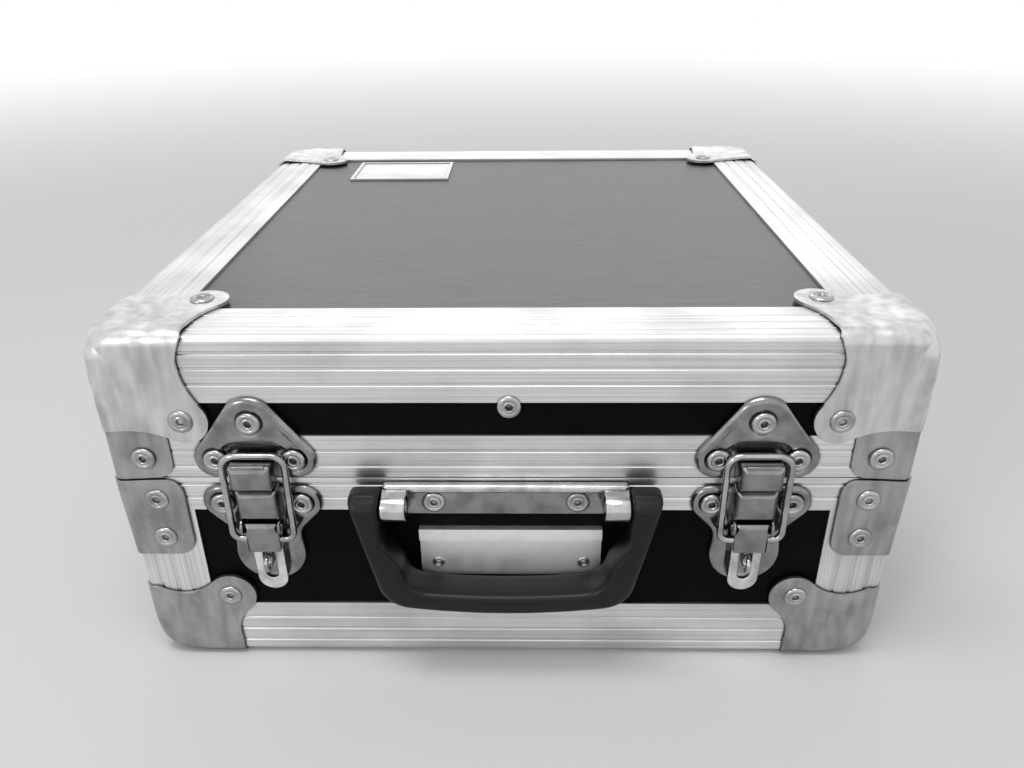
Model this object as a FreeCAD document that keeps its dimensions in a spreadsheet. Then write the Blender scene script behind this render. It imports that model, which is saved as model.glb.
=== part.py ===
import FreeCAD, Part
import math
import os
import Sketcher

# A record carrying case: plywood boards in aluminium edge angles, with a hinged lid, two draw
# latches and a folding handle. It lies flat, with the handle side at the front.
# X runs left to right along the front, Y goes from the front to the back and Z is up. The origin is
# the centre of the whole part's footprint, on the plane that the four lower corners stand on.

V = FreeCAD.Vector
doc = FreeCAD.newDocument("record_case")
sheet = doc.addObject("Spreadsheet::Sheet", "sizes")

driving = [
    # the case
    ("case_width", 343.4, "outside the edge angles, left to right"),
    ("case_depth", 348.0, "outside the edge angles, front to back"),
    ("seam", 102.6, "height of the joint between base and lid"),
    ("lid_height", 67.0, "lid, from the joint to the top of its edge angles"),
    ("board", 7.0, "thickness of the laminated plywood"),
    ("angle_leg", 30.0, "width of an edge angle's leg"),
    ("angle_wall", 1.5, "thickness of all the aluminium extrusions"),
    ("ridge_radius", 3.0, "rounding of an edge angle's ridge"),
    ("facet", 3.6, "longest flat on the faceted arcs of corners, braces and bails"),
    ("groove_width", 0.8, "width of a groove along an extrusion"),
    ("groove_depth", 0.4, "depth of a groove along an extrusion"),
    ("groove_pitch", 7.2, "from one groove to the next"),
    ("mitre_gap", 0.1, "gap at each mitred end"),
    ("overrun", 5.0, "how far each cutting tool runs past what it cuts"),
    # the rims that meet at the seam
    ("base_rim_leg", 17.0, "height of the base rim's outer leg"),
    ("lid_rim_leg", 21.0, "height of the lid rim's outer leg"),
    ("rim_lip", 12.0, "height of a rim's inner leg"),
    ("base_web", 2.0, "thickness of the base rim's web"),
    ("lid_web", 4.6, "thickness of the lid rim's web, which holds the groove"),
    ("tongue_width", 3.0, "width of the tongue at its root"),
    ("tongue_height", 2.6, "how far the tongue stands above the seam"),
    ("tongue_taper", 0.5, "how far each side of the tongue leans in"),
    ("tongue_clearance", 0.6, "gap between tongue and groove on each side"),
    ("seam_gap", 0.1, "gap between the two rims"),
    # the stamped steel corners and braces
    ("plate", 1.6, "thickness of the steel corners and braces"),
    ("ball_centre", 24.0, "bottom corner: from each face to the centre of its ball"),
    ("ball_radius", 33.3, "bottom corner: radius of its ball"),
    ("top_ball_centre", 18.0, "top corner: from each face to the centre of its ball"),
    ("top_ball_radius", 26.0, "top corner: radius of its ball"),
    ("lobe_radius", 10.6, "radius of the lobe round a top corner's rivet"),
    ("top_lobe_in", 34.0, "top corner: rivet from the upright edge"),
    ("top_lobe_up", 28.9, "top corner: rivet above the joint"),
    ("top_lobe_flat", 37.0, "top corner: rivet on the top from both ridges"),
    ("top_neck_step", 2.0, "top corner: neck beyond the rivet's distance"),
    ("top_neck_along", 11.5, "top corner: where the neck is, from the ridge"),
    ("top_skirt_step", 4.1, "top corner: lower border beyond the rivet's distance"),
    ("top_skirt_along", 8.0, "top corner: where the lower border turns"),
    ("top_reach", 44.0, "top corner: longest arm along a ridge"),
    ("low_lobe_in", 39.8, "bottom corner: rivet from the upright edge"),
    ("low_lobe_up", 36.0, "bottom corner: rivet from the foot"),
    ("low_lobe_flat", 39.0, "bottom corner: rivet underneath from both edges"),
    ("low_neck_step", 0.4, "bottom corner: neck beyond the rivet's distance"),
    ("low_neck_along", 13.5, "bottom corner: where the neck is, from the foot"),
    ("low_skirt_step", 0.9, "bottom corner: upper border beyond the rivet's distance"),
    ("low_skirt_along", 16.7, "bottom corner: where the upper border turns"),
    ("low_reach", 40.5, "bottom corner: longest arm along an edge"),
    ("low_lobe_radius", 11.2, "radius of the lobe round a bottom corner's rivet"),
    ("brace_width", 27.4, "base brace: leg on each side of the corner"),
    ("brace_height", 40.5, "base brace: height"),
    ("lid_brace_width", 25.4, "lid brace: leg on each side of the corner"),
    ("lid_brace_height", 27.0, "lid brace: height, up to under the corner"),
    ("brace_corner", 8.0, "rounding of a brace's free corners"),
    ("brace_rivet_in", 16.0, "braces: rivets from the upright edge"),
    ("brace_rivet_pitch", 20.4, "base brace: between its two rivets"),
    ("brace_rivet_down", 10.6, "braces: nearest rivet from the seam"),
    # rivets
    ("rivet_radius", 5.2, "radius of a rivet's head"),
    ("rivet_height", 1.5, "height of a rivet's head"),
    ("rivet_crown", 3.0, "radius of the flat on a rivet's head"),
    ("small_rivet_radius", 2.85, "radius of the card holder's rivet heads"),
    # the row of fittings along the front
    ("row_shift", 1.9, "how far the row sits to the left of the middle"),
    ("latch_in", 64.4, "latches from the sides, before the shift"),
    # keeper plate on the lid
    ("keeper_wall", 2.4, "height of the pressed keeper and latch plates"),
    ("press_radius", 1.6, "slope of a pressed plate's border"),
    ("keeper_top_up", 28.2, "keeper's upper rivet above the seam"),
    ("keeper_crown_up", 26.9, "middle of the keeper's upper rounding above the seam"),
    ("keeper_top_radius", 13.0, "rounding round the keeper's upper rivet"),
    ("keeper_low_up", 10.2, "keeper's lower rivets above the seam"),
    ("keeper_low_out", 16.8, "keeper's lower rivets from its middle"),
    ("keeper_low_radius", 9.6, "rounding round the keeper's lower rivets"),
    ("hook_width", 17.8, "width of the keeper's hook"),
    ("hook_wall", 1.3, "thickness of the hook's steel"),
    ("hook_bevel", 1.6, "bevel round the hook's front"),
    ("hook_reach", 13.0, "how far the hook stands out from the front"),
    ("hook_lip", 1.0, "height of the lip that holds the bail's bar"),
    ("hook_foot", 0.6, "hook's lower edge above the seam"),
    ("bar_up", 14.0, "bail's bar above the seam when latched"),
    ("bar_out", 5.2, "bail's bar out from the front when latched"),
    # latch plate on the base
    ("wing_down", 12.3, "latch plate's rivets below the seam"),
    ("wing_out", 17.4, "latch plate's rivets from its middle"),
    ("wing_radius", 9.0, "rounding round the latch plate's rivets"),
    ("tail_down", 39.8, "centres of the latch plate's rounded tail below the seam"),
    ("tail_out", 0.8, "centres of the tail's rounding from its middle"),
    ("tail_radius", 15.2, "rounding of the latch plate's tail"),
    ("waist_out", 15.3, "half the width of the latch plate at its waist"),
    ("waist_down", 31.0, "waist below the seam"),
    ("waist_radius", 9.0, "hollow rounding of the waist"),
    ("boss_width", 17.6, "width of the box pressed out over the pivot"),
    ("boss_top_down", 2.6, "top of the box below the seam"),
    ("boss_low_down", 16.6, "bottom of the box below the seam"),
    ("boss_reach", 10.0, "how far the box stands out"),
    ("boss_slope", 2.2, "slope of the box's upper and lower faces"),
    ("pivot_down", 20.8, "lever's pivot below the seam"),
    ("pivot_out", 7.0, "lever's pivot out from the front"),
    ("pivot_radius", 1.4, "radius of the lever's pin"),
    ("ear_radius", 3.6, "rounding of the ears round the pin"),
    ("ear_wall", 1.2, "thickness of an ear"),
    ("ear_gap", 0.3, "gap between the lever and an ear"),
    ("running", 0.06, "radial clearance of every turning fit"),
    ("staple_down", 41.2, "middle of the padlock staple below the seam"),
    ("staple_reach", 11.4, "how far the staple stands out"),
    ("staple_half", 4.4, "half the height of the staple"),
    ("staple_width", 2.2, "thickness of the staple"),
    ("staple_hole", 2.3, "radius of the staple's hole"),
    # lever and bail
    ("lever_width", 14.6, "width of the lever's box"),
    ("lever_wall", 1.2, "thickness of the lever's steel"),
    ("lever_bevel", 1.2, "bevel round the lever's front"),
    ("lever_front", 9.8, "lever's front face out from the front"),
    ("lever_back", 3.3, "back edges of the lever's cheeks"),
    ("lever_top", 2.1, "lever's upper edge above its pivot"),
    ("lever_low", 13.4, "lower edge of the lever's box below its pivot"),
    ("tongue_plate_width", 13.6, "width of the lever's tongue"),
    ("tongue_end", 38.0, "end of the tongue below the pivot"),
    ("tongue_root_out", 3.6, "tongue's inner face out from the front at its root"),
    ("tongue_end_out", 2.7, "tongue's inner face out from the front at its end"),
    ("slot_half", 2.9, "half the width of the slot in the tongue"),
    ("slot_top", 14.6, "upper end of the slot below the pivot"),
    ("slot_end", 31.5, "lower end of the slot below the pivot"),
    ("bail_drop", 7.3, "bail's ends below the lever's pivot"),
    ("bail_in", 0.6, "bail's ends behind the lever's pivot"),
    ("wire_radius", 1.6, "radius of the bail's wire"),
    ("bail_width", 27.0, "between the middles of the bail's two sides"),
    ("bail_corner", 5.8, "bend at the bail's upper corners"),
    ("bail_end_bend", 4.0, "bend at the bail's lower ends"),
    # handle
    ("bracket_height", 13.0, "handle bracket, top to bottom"),
    ("bracket_wall", 1.5, "thickness of the bracket's steel"),
    ("bracket_down", 11.7, "middle of the bracket's band below the seam"),
    ("handle_down", 9.0, "handle's pivot below the seam"),
    ("handle_out", 9.6, "handle's pivot out from the front"),
    ("barrel_radius", 6.0, "outside of the bracket's rolled ends"),
    ("barrel_width", 10.8, "length of each rolled end"),
    ("bead_height", 4.0, "height of the bead along the bracket's upper edge"),
    ("bead_reach", 5.2, "how far the bead stands out"),
    ("stub_radius", 2.6, "radius of the pins moulded on the handle"),
    ("stub_length", 9.0, "length of the pins moulded on the handle"),
    ("grip_gap", 0.5, "gap between the handle's arms and the bracket"),
    ("handle_side_gap", 14.7, "handle's arm to the nearest latch plate"),
    ("grip_arm", 12.4, "width of the handle's arms"),
    ("grip_depth", 17.2, "depth of the handle's grip, front to back"),
    ("grip_bar", 10.4, "height of the handle's grip"),
    ("grip_top", 8.0, "top of the handle's arms above the pivot"),
    ("grip_drop", 53.2, "bottom of the grip below the pivot"),
    ("grip_bow", 3.0, "how much lower the grip is in its middle"),
    ("grip_tip", 4.5, "rounding of the tops of the arms"),
    ("grip_corner", 15.0, "outer rounding of the handle's lower corners"),
    ("grip_inner_corner", 12.0, "inner rounding of the handle's lower corners"),
    ("grip_lean", 9.0, "how far each arm leans in at the grip"),
    ("grip_round", 1.8, "rounding of the handle's edges"),
    # card holder and label plate
    ("card_height", 27.0, "card holder, top to bottom"),
    ("card_top_down", 26.6, "card holder's top below the seam"),
    ("card_wall", 1.2, "thickness of the card holder"),
    ("card_lip", 6.0, "height of the rolled lip"),
    ("card_lip_reach", 3.4, "how far the lip stands out"),
    ("card_side_gap", 12.3, "card holder's ends from the ends of the handle's bracket"),
    ("card_rivet_in", 7.8, "card holder's rivets from its ends"),
    ("card_rivet_up", 7.2, "card holder's rivets above its lower edge"),
    ("label_width", 66.0, "label plate, left to right"),
    ("label_depth", 49.0, "label plate, front to back"),
    ("label_height", 1.4, "label plate's raised border"),
    ("label_sheet", 0.8, "label plate inside its border"),
    ("label_border", 2.2, "width of the label plate's border"),
    ("label_left_in", 60.0, "label plate from the case's left side"),
    ("label_back_in", 39.0, "label plate from the case's back"),
    ("lid_rivet_drop", 2.0, "middle rivet below the lower edge of the lid's front angle"),
    # hinges
    ("hinge_width", 50.0, "length of a hinge"),
    ("hinge_in", 72.0, "middle of a hinge from the case's side"),
    ("hinge_wall", 1.5, "thickness of a hinge leaf"),
    ("knuckle_radius", 3.0, "outside of a hinge knuckle"),
    ("knuckle_out", 3.2, "hinge axis behind the back"),
    ("hinge_pin_radius", 1.5, "radius of a hinge pin"),
    ("lower_leaf", 15.0, "height of the hinge's lower leaf"),
    ("upper_leaf", 18.0, "height of the hinge's upper leaf"),
    ("knuckle_gap", 0.3, "gap between knuckles"),
    ("hinge_rivet_out", 16.0, "hinge rivets from the hinge's middle"),
    # foam
    ("foam", 6.0, "thickness of the foam pads"),
    ("foam_clear", 0.3, "foam's gap from the boards"),
]
knuckle_count = 3
groove_count = 3
head_sides = 10           # flats round a rivet's head
wire_sides = 8            # flats round the bail's wire
ridge_share = 0.134       # sagitta of a third of a quarter turn, for a radius of one
ridge_facet_share = 0.4   # how the ball's facets lean towards the ridges
face_facet_share = 0.72   # how they lean towards the faces
bevel_share = 0.25        # small bevels, as a share of the wall or slope that they soften
rivet_place_share = 0.847 # bracket's rivets, from its middle towards its rolled ends


class Size:
    """A length from the sheet, with the expression that keeps it bound to its cells."""

    def __init__(self, value, text):
        self.value, self.text = value, text

    def join(self, other, sign, swap=False):
        a, b = (read(other), self) if swap else (self, read(other))
        value = {"+": a.value + b.value, "-": a.value - b.value, "*": a.value * b.value,
                 "/": a.value / b.value if b.value else 0.0}[sign]
        return Size(value, "(%s %s %s)" % (a.text, sign, b.text))

    def __add__(self, other):
        return self.join(other, "+")

    def __sub__(self, other):
        return self.join(other, "-")

    def __mul__(self, other):
        return self.join(other, "*")

    def __truediv__(self, other):
        return self.join(other, "/")

    def __radd__(self, other):
        return self.join(other, "+", True)

    def __rsub__(self, other):
        return self.join(other, "-", True)

    def __rmul__(self, other):
        return self.join(other, "*", True)

    def __neg__(self):
        return Size(-self.value, "(-%s)" % self.text)

    def __float__(self):
        return float(self.value)


def read(number):
    return number if isinstance(number, Size) else Size(float(number), "%r" % float(number))


class Sizes:
    """Every driving dimension by its alias."""


s = Sizes()
for row, (alias, value, note) in enumerate(driving, 1):
    sheet.set("A%d" % row, alias)
    sheet.set("B%d" % row, "%g" % value)
    sheet.set("C%d" % row, note)
    sheet.setAlias("B%d" % row, alias)
    setattr(s, alias, Size(value, "sizes." + alias))
doc.recompute()

# Places worked out from the driving dimensions
foot = s.plate                                     # underside of the lower edge angles
grip_reach = s.handle_out + s.grip_depth / 2       # handle in front of the case
hinge_reach = s.knuckle_out + s.knuckle_radius     # hinges behind the case
case_top = s.seam + s.lid_height
top_lobe_down = s.lid_height - s.top_lobe_up
shift = (grip_reach - hinge_reach) / 2             # middle of the case behind the origin
inner_face = s.angle_wall + s.board                # from the outside to a board's inside
floor_top = foot + inner_face
rim_depth = inner_face + s.plate                   # a rim's section, front to back
lid_seam = s.seam + s.seam_gap                     # underside of the lid's rims
latch_left = s.latch_in - s.row_shift - s.case_width / 2
latch_right = s.case_width / 2 - s.latch_in - s.row_shift
handle_half = s.case_width / 2 - s.latch_in - s.wing_out - s.wing_radius - s.handle_side_gap
bracket_half = handle_half - s.grip_arm - s.grip_gap
bracket_rivet_out = (bracket_half - s.barrel_width - s.rivet_radius) * rivet_place_share
card_half = bracket_half - s.card_side_gap
nodes = []


def turned(obj, yaw, x, y, z):
    """Places an object by its turn about Z and its bound position."""
    obj.Placement = FreeCAD.Placement(V(float(x), float(y), float(z)), FreeCAD.Rotation(V(0, 0, 1), yaw))
    for axis, place in zip("xyz", (x, y, z)):
        obj.setExpression("Placement.Base." + axis, read(place).text)


sides = {"front": 0, "right": 90, "back": 180, "left": -90}


def run(side):
    return s.case_width if side in ("front", "back") else s.case_depth


def at_side(obj, side, along=0, depth=0, z=0):
    """Places an object whose local X runs along a side and whose local Y goes into the case."""
    along, depth = read(along), read(depth)
    if side == "front":
        x, y = along, shift - s.case_depth / 2 + depth
    elif side == "right":
        x, y = s.case_width / 2 - depth, shift + along
    elif side == "back":
        x, y = -along, shift + s.case_depth / 2 - depth
    else:
        x, y = depth - s.case_width / 2, shift - along
    turned(obj, sides[side], x, y, z)


def node(obj, name):
    """Gives a finished sub-part its name."""
    obj.Label = name
    nodes.append(obj)
    return obj


def solid_feature(name, shape):
    """A sub-part whose shape Part's own functions make."""
    obj = doc.addObject("Part::Feature", name)
    obj.Shape = shape
    return node(obj, name)


def block(name, length, width, height):
    obj = doc.addObject("Part::Box", name)
    for prop, size in (("Length", length), ("Width", width), ("Height", height)):
        obj.setExpression(prop, read(size).text)
    return obj


def plane_of(body, role):
    return next(plane for plane in body.Origin.OriginFeatures if plane.Role == role)


def sketch_loops(body, role, name, loops):
    """A sketch of closed polygons, every point held by two bound distances from the origin."""
    sketch = body.newObject("Sketcher::SketchObject", name)
    sketch.AttachmentSupport = [(plane_of(body, role), "")]
    sketch.MapMode = "FlatFace"
    for points in loops:
        first, count = sketch.GeometryCount, len(points)
        flat = [V(float(across), float(up), 0) for across, up in points]
        sketch.addGeometry([Part.LineSegment(flat[i], flat[(i + 1) % count]) for i in range(count)], False)
        sketch.addConstraint([Sketcher.Constraint("Coincident", first + i, 2, first + (i + 1) % count, 1)
                              for i in range(count)])
        held = []
        for i, point in enumerate(points):
            for kind, size in zip(("DistanceX", "DistanceY"), point):
                held.append((Sketcher.Constraint(kind, -1, 1, first + i, 1, float(size)), size))
        start = sketch.ConstraintCount
        sketch.addConstraint([constraint for constraint, size in held])
        for i, (constraint, size) in enumerate(held):
            if isinstance(size, Size):
                sketch.setExpression("Constraints[%d]" % (start + i), size.text)
    return sketch


def mitred_run(name, points, length, reach):
    """An extrusion along X whose ends are cut at 45 degrees. Local Y goes inwards."""
    body = doc.addObject("PartDesign::Body", name)
    profile = sketch_loops(body, "YZ_Plane", name + "_profile", [points])
    pad = body.newObject("PartDesign::Pad", name + "_pad")
    pad.Profile, pad.Midplane = profile, True
    pad.setExpression("Length", length.text)
    past, half = s.overrun, length / 2 - s.mitre_gap
    ends = [[(sign * (half + past), -past), (sign * (half + past), reach + past),
             (sign * (half - reach - past), reach + past)] for sign in (1, -1)]
    mitre = sketch_loops(body, "XY_Plane", name + "_mitres", ends)
    pocket = body.newObject("PartDesign::Pocket", name + "_cut")
    pocket.Profile, pocket.Type, pocket.Midplane = mitre, 1, True
    doc.recompute()
    return body


def grooves(start, count, sign=1):
    """Places of the grooves' edges, from the first groove's middle on."""
    for i in range(count):
        middle = start + i * s.groove_pitch
        yield sign * (middle - s.groove_width / 2), sign * (middle + s.groove_width / 2)


def angle_points(up):
    """An angle's section with its ridge at zero; its flat leg points inwards, the other up or down."""
    wall, leg, sink = s.angle_wall, s.angle_leg, s.groove_depth
    points = [(across, up * along) for across, along in ridge_line(s.ridge_radius)]
    for near, far in grooves(s.groove_pitch, groove_count):
        points += [(near, 0), (near, up * sink), (far, up * sink), (far, 0)]
    points += [(leg, 0), (leg, up * wall), (wall, up * wall), (wall, up * leg), (0, up * leg)]
    for near, far in reversed(list(grooves(s.groove_pitch, groove_count))):
        points += [(0, up * far), (sink, up * far), (sink, up * near), (0, up * near)]
    return points


# Tools that clear the boards and angles from under the rounded corners
ball_facets = [V(1, 1, 1)]
for across, along in ((1, ridge_facet_share), (face_facet_share, 1)):
    ball_facets += [V(across, across, along), V(across, along, across), V(along, across, across)]


def beyond_ball(ball, out):
    """Everything beyond the flat facets that touch a ball, for faces moved out by a distance."""
    middle, radius = ball
    size = 2 * radius
    slabs = []
    for facet in ball_facets:
        slab = Part.makeBox(2 * size, 2 * size, size, V(-size, -size, radius + out))
        slab.rotate(V(0, 0, 0), *turn_to(-facet))
        slab.translate(V(middle, middle, middle))
        slabs.append(slab)
    return slabs


def turn_to(way):
    """The axis and the angle that turn Z to a direction."""
    turn = FreeCAD.Rotation(V(0, 0, 1), way)
    return turn.Axis, math.degrees(turn.Angle)


def ball_cutter(ball):
    """What the rounding takes away in the cube at a corner."""
    size = ball[0]
    cube = Part.makeBox(size, size, size)
    return cube.cut(cube.cut(beyond_ball(ball, 0)))


def ridge_line(radius):
    """The rounding of a ridge at zero, as four points of a section."""
    half, near = radius / 2, radius * ridge_share
    return [(0, radius), (near, half), (half, near), (radius, 0)]


def ridge_cutter(radius, tall):
    """What lies outside the rounding of an upright edge."""
    wire = Part.makePolygon([V(0, 0, 0)] + [V(x, y, 0) for x, y in ridge_line(radius)] + [V(0, 0, 0)])
    return Part.Face(wire).extrude(V(0, 0, tall))


def at_corner(shape, right, back, z, flip=False):
    """A shape made for the lower front left corner, mirrored to another one."""
    out = shape.copy()
    if flip:
        out = out.mirror(V(0, 0, 0), V(0, 0, 1))
    if right:
        out = out.mirror(V(0, 0, 0), V(1, 0, 0))
    if back:
        out = out.mirror(V(0, 0, 0), V(0, 1, 0))
    x = s.case_width.value / 2 * (1 if right else -1)
    y = shift.value + s.case_depth.value / 2 * (1 if back else -1)
    out.translate(V(x, y, float(z)))
    return out


def values(*names):
    return [getattr(s, name).value for name in names]


balls = {"bottom": values("ball_centre", "ball_radius"), "top": values("top_ball_centre", "top_ball_radius")}
corners = [("front_left", False, False), ("front_right", True, False),
           ("back_left", False, True), ("back_right", True, True)]
trims = {}
for level, kind, z, flip, tall in (("base", "bottom", foot, False, s.seam),
                                   ("lid", "top", case_top, True, case_top - s.seam)):
    trim = doc.addObject("Part::Feature", level + "_corner_trim")
    tool = ball_cutter(balls[kind]).fuse(ridge_cutter(s.ridge_radius.value, tall.value))
    trim.Shape = Part.makeCompound([at_corner(tool, right, back, z, flip) for name, right, back in corners])
    trims[level] = trim


def trimmed(blank, name, level):
    """Cuts a piece back from under the rounded corners."""
    cut = doc.addObject("Part::Cut", name)
    cut.Base, cut.Tool = blank, trims[level]
    blank.Label = name + "_blank"
    return node(cut, name)


# Boards of the base and the lid
def panel(name, level, low):
    """A flat board inside the edge angles."""
    length, width = s.case_width - 2 * s.angle_wall, s.case_depth - 2 * s.angle_wall
    blank = block(name + "_board", length, width, s.board)
    turned(blank, 0, -length / 2, shift - width / 2, low)
    trimmed(blank, name, level)


def wall_board(level, side, low, high):
    """An upright board; the front and back ones run between the angles, the others between them."""
    between = s.angle_wall if side in ("front", "back") else inner_face
    length = run(side) - 2 * between
    name = "%s_board_%s" % (level, side)
    blank = block(name + "_board", length, s.board, high - low)
    at_side(blank, side, -length / 2, s.angle_wall, low)
    trimmed(blank, name, level)


panel("bottom_panel", "base", foot + s.angle_wall)
panel("top_panel", "lid", case_top - inner_face)
for side in sides:
    wall_board("base", side, floor_top, s.seam - s.base_web)
    wall_board("lid", side, lid_seam + s.lid_web, case_top - inner_face)

# Edge angles round the bottom and the top
for level, up, z in (("bottom", 1, foot), ("top", -1, case_top)):
    for side in sides:
        name = "%s_angle_%s" % (level, side)
        body = mitred_run(name + "_run", angle_points(up), run(side), s.angle_leg)
        at_side(body, side, 0, 0, z)
        trimmed(body, name, "base" if level == "bottom" else "lid")


# Upright angles between the flat angles and the rims
def upright(low, high):
    """Four plain angles up the corners, as one group."""
    leg, wall, tall = s.angle_leg.value, s.angle_wall.value, float(high - low)
    angle = Part.makeBox(leg, leg, tall).cut([ridge_cutter(s.ridge_radius.value, tall),
                                              Part.makeBox(leg, leg, tall, V(wall, wall, 0))])
    for i in range(groove_count):
        at = s.groove_pitch.value * (i + 1) - s.groove_width.value / 2
        slot = Part.makeBox(s.groove_width.value, s.groove_depth.value, tall, V(at, 0, 0))
        angle = angle.cut(slot).cut(slot.mirror(V(0, 0, 0), V(1, -1, 0)))
    return Part.makeCompound([at_corner(angle, right, back, low) for name, right, back in corners])


solid_feature("base_upright_angles", upright(foot + s.angle_leg, s.seam - s.base_rim_leg))
solid_feature("lid_upright_angles", upright(lid_seam + s.lid_rim_leg, case_top - s.angle_leg))


# Rims of the base and the lid
def rim_points(level):
    """A rim's section with the seam at zero: a leg outside, a lip inside and a web between them."""
    wall, lip = s.angle_wall, s.plate
    middle = s.angle_wall + s.board / 2
    sink = s.groove_depth
    if level == "base":
        root, top = s.tongue_width / 2, s.tongue_width / 2 - s.tongue_taper
        points = [(0, 0), (middle - root, 0), (middle - top, s.tongue_height),
                  (middle + top, s.tongue_height), (middle + root, 0), (rim_depth, 0),
                  (rim_depth, -s.rim_lip), (inner_face, -s.rim_lip), (inner_face, -s.base_web),
                  (wall, -s.base_web), (wall, -s.base_rim_leg), (0, -s.base_rim_leg)]
        lines, up = list(grooves(s.base_rim_leg - s.groove_pitch * 2, 2)), -1
    else:
        root = s.tongue_width / 2 + s.tongue_clearance
        deep = s.tongue_height + s.tongue_clearance
        points = [(0, 0), (middle - root, 0), (middle - root, deep), (middle + root, deep),
                  (middle + root, 0), (rim_depth, 0), (rim_depth, s.rim_lip), (inner_face, s.rim_lip),
                  (inner_face, s.lid_web), (wall, s.lid_web), (wall, s.lid_rim_leg), (0, s.lid_rim_leg)]
        lines, up = list(grooves(s.groove_pitch, 2)), 1
    for near, far in reversed(lines):
        points += [(0, up * far), (sink, up * far), (sink, up * near), (0, up * near)]
    return points


for level, z in (("base", s.seam), ("lid", lid_seam)):
    for side in sides:
        name = "%s_rim_%s" % (level, side)
        body = mitred_run(name + "_run", rim_points(level), run(side), rim_depth)
        at_side(body, side, 0, 0, z)
        trimmed(body, name, level)


# Stamped corners: a thin shell over the ball and the ridges, with a riveted lobe on each face
def lobe_border(centre, radius, step, along, reach):
    """One border of a lobe, as (across, along) points from the edge to the lobe's circle.
    A neck circle touches the lobe's circle from outside, and its nearest point is the waist."""
    across, lobe_along = centre
    rise = along - lobe_along
    neck = (step * step + rise * rise - radius * radius) / (2 * (radius - step))
    middle = V(across + step + neck, along, 0)
    lobe = V(across, lobe_along, 0)
    touch = lobe + (middle - lobe) * (radius / (radius + neck))
    waist = V(across + step, along, 0)
    side = middle.x - reach
    flare = math.sqrt(neck * neck - side * side) if abs(side) < neck else neck
    if flare < along:
        start = V(reach, along - flare, 0)
    else:
        start = V(middle.x - math.sqrt(neck * neck - along * along), 0, 0)
    return start, waist, touch


def bent(start, middle, end, flat=s.facet):
    """The points of an arc, in flats of even length."""
    arc = Part.Arc(start, middle, end)
    return arc.discretize(math.ceil(arc.length() / flat.value) + 1)


def lobe_face(across, up, radius, neck_step, neck_along, skirt_step, skirt_along, reach):
    """The outline of a corner on one face: x from the upright edge, y from the ridge."""
    out = s.plate.value
    low, waist, touch = lobe_border((across, up), radius, neck_step, neck_along, reach)
    high, skirt, meet = [V(p.y, p.x, 0) for p in
                         lobe_border((up, across), radius, skirt_step, skirt_along, reach)]
    crown = V(across, up, 0) + V(1, 1, 0).normalize() * radius
    points = [V(-out, -out, 0), V(low.x, -out, 0)] + bent(low, waist, touch)
    points += bent(touch, crown, meet)[1:-1] + bent(meet, skirt, high) + [V(-out, high.y, 0)]
    return Part.Face(Part.makePolygon(points + points[:1]))


def corner_box(ball, out, size):
    """The case's corner as a solid block, with its ridges rounded and its point cut by the ball."""
    block_size, radius = size + out, s.ridge_radius.value + out
    ridge = ridge_cutter(radius, block_size)
    level = ridge.copy()
    level.rotate(V(0, 0, 0), V(1, 1, 1), 120)
    across = ridge.copy()
    across.rotate(V(0, 0, 0), V(1, 1, 1), -120)
    box = Part.makeBox(block_size, block_size, block_size).cut([ridge, level, across])
    box.translate(V(-out, -out, -out))
    return box.cut(beyond_ball(ball, out))


def folded(wall):
    """An outline on the front as a solid that takes in the ridge, with its twin on the other face."""
    out, deep = s.plate.value, s.ridge_radius.value + 2 * s.plate.value
    front = wall.copy()
    front.rotate(V(0, 0, 0), V(1, 0, 0), 90)
    front.translate(V(0, -out, 0))
    front = front.extrude(V(0, deep, 0))
    return front.fuse(front.mirror(V(0, 0, 0), V(1, -1, 0)))


def corner_prisms(across, up, flat, radius, neck_step, neck_along, skirt_step, skirt_along, reach):
    """The outlines of a corner on its three faces, as one solid that takes in the ridges too."""
    out, deep = s.plate.value, s.ridge_radius.value + 2 * s.plate.value
    wall = lobe_face(across, up, radius, neck_step, neck_along, skirt_step, skirt_along, reach)
    level = lobe_face(flat, flat, radius, neck_step, neck_along, neck_step, neck_along, reach)
    level.translate(V(0, 0, -out))
    return folded(wall).fuse(level.extrude(V(0, 0, deep)))


corner_kinds = (
    ("bottom", foot, False, values("low_lobe_in", "low_lobe_up", "low_lobe_flat", "low_lobe_radius",
                                   "low_neck_step", "low_neck_along", "low_skirt_step", "low_skirt_along",
                                   "low_reach")),
    ("top", case_top, True, values("top_lobe_in") + [top_lobe_down.value]
     + values("top_lobe_flat", "lobe_radius", "top_neck_step", "top_neck_along", "top_skirt_step",
              "top_skirt_along", "top_reach")),
)
outlines = {}
for kind, z, flip, sizes in corner_kinds:
    size = sizes[0] + sizes[1]
    outlines[kind] = corner_prisms(*sizes)
    shell = corner_box(balls[kind], s.plate.value, size).cut(corner_box(balls[kind], 0, size)).common(outlines[kind])
    for name, right, back in corners:
        solid_feature("%s_corner_%s" % (kind, name), at_corner(shell, right, back, z, flip))


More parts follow.
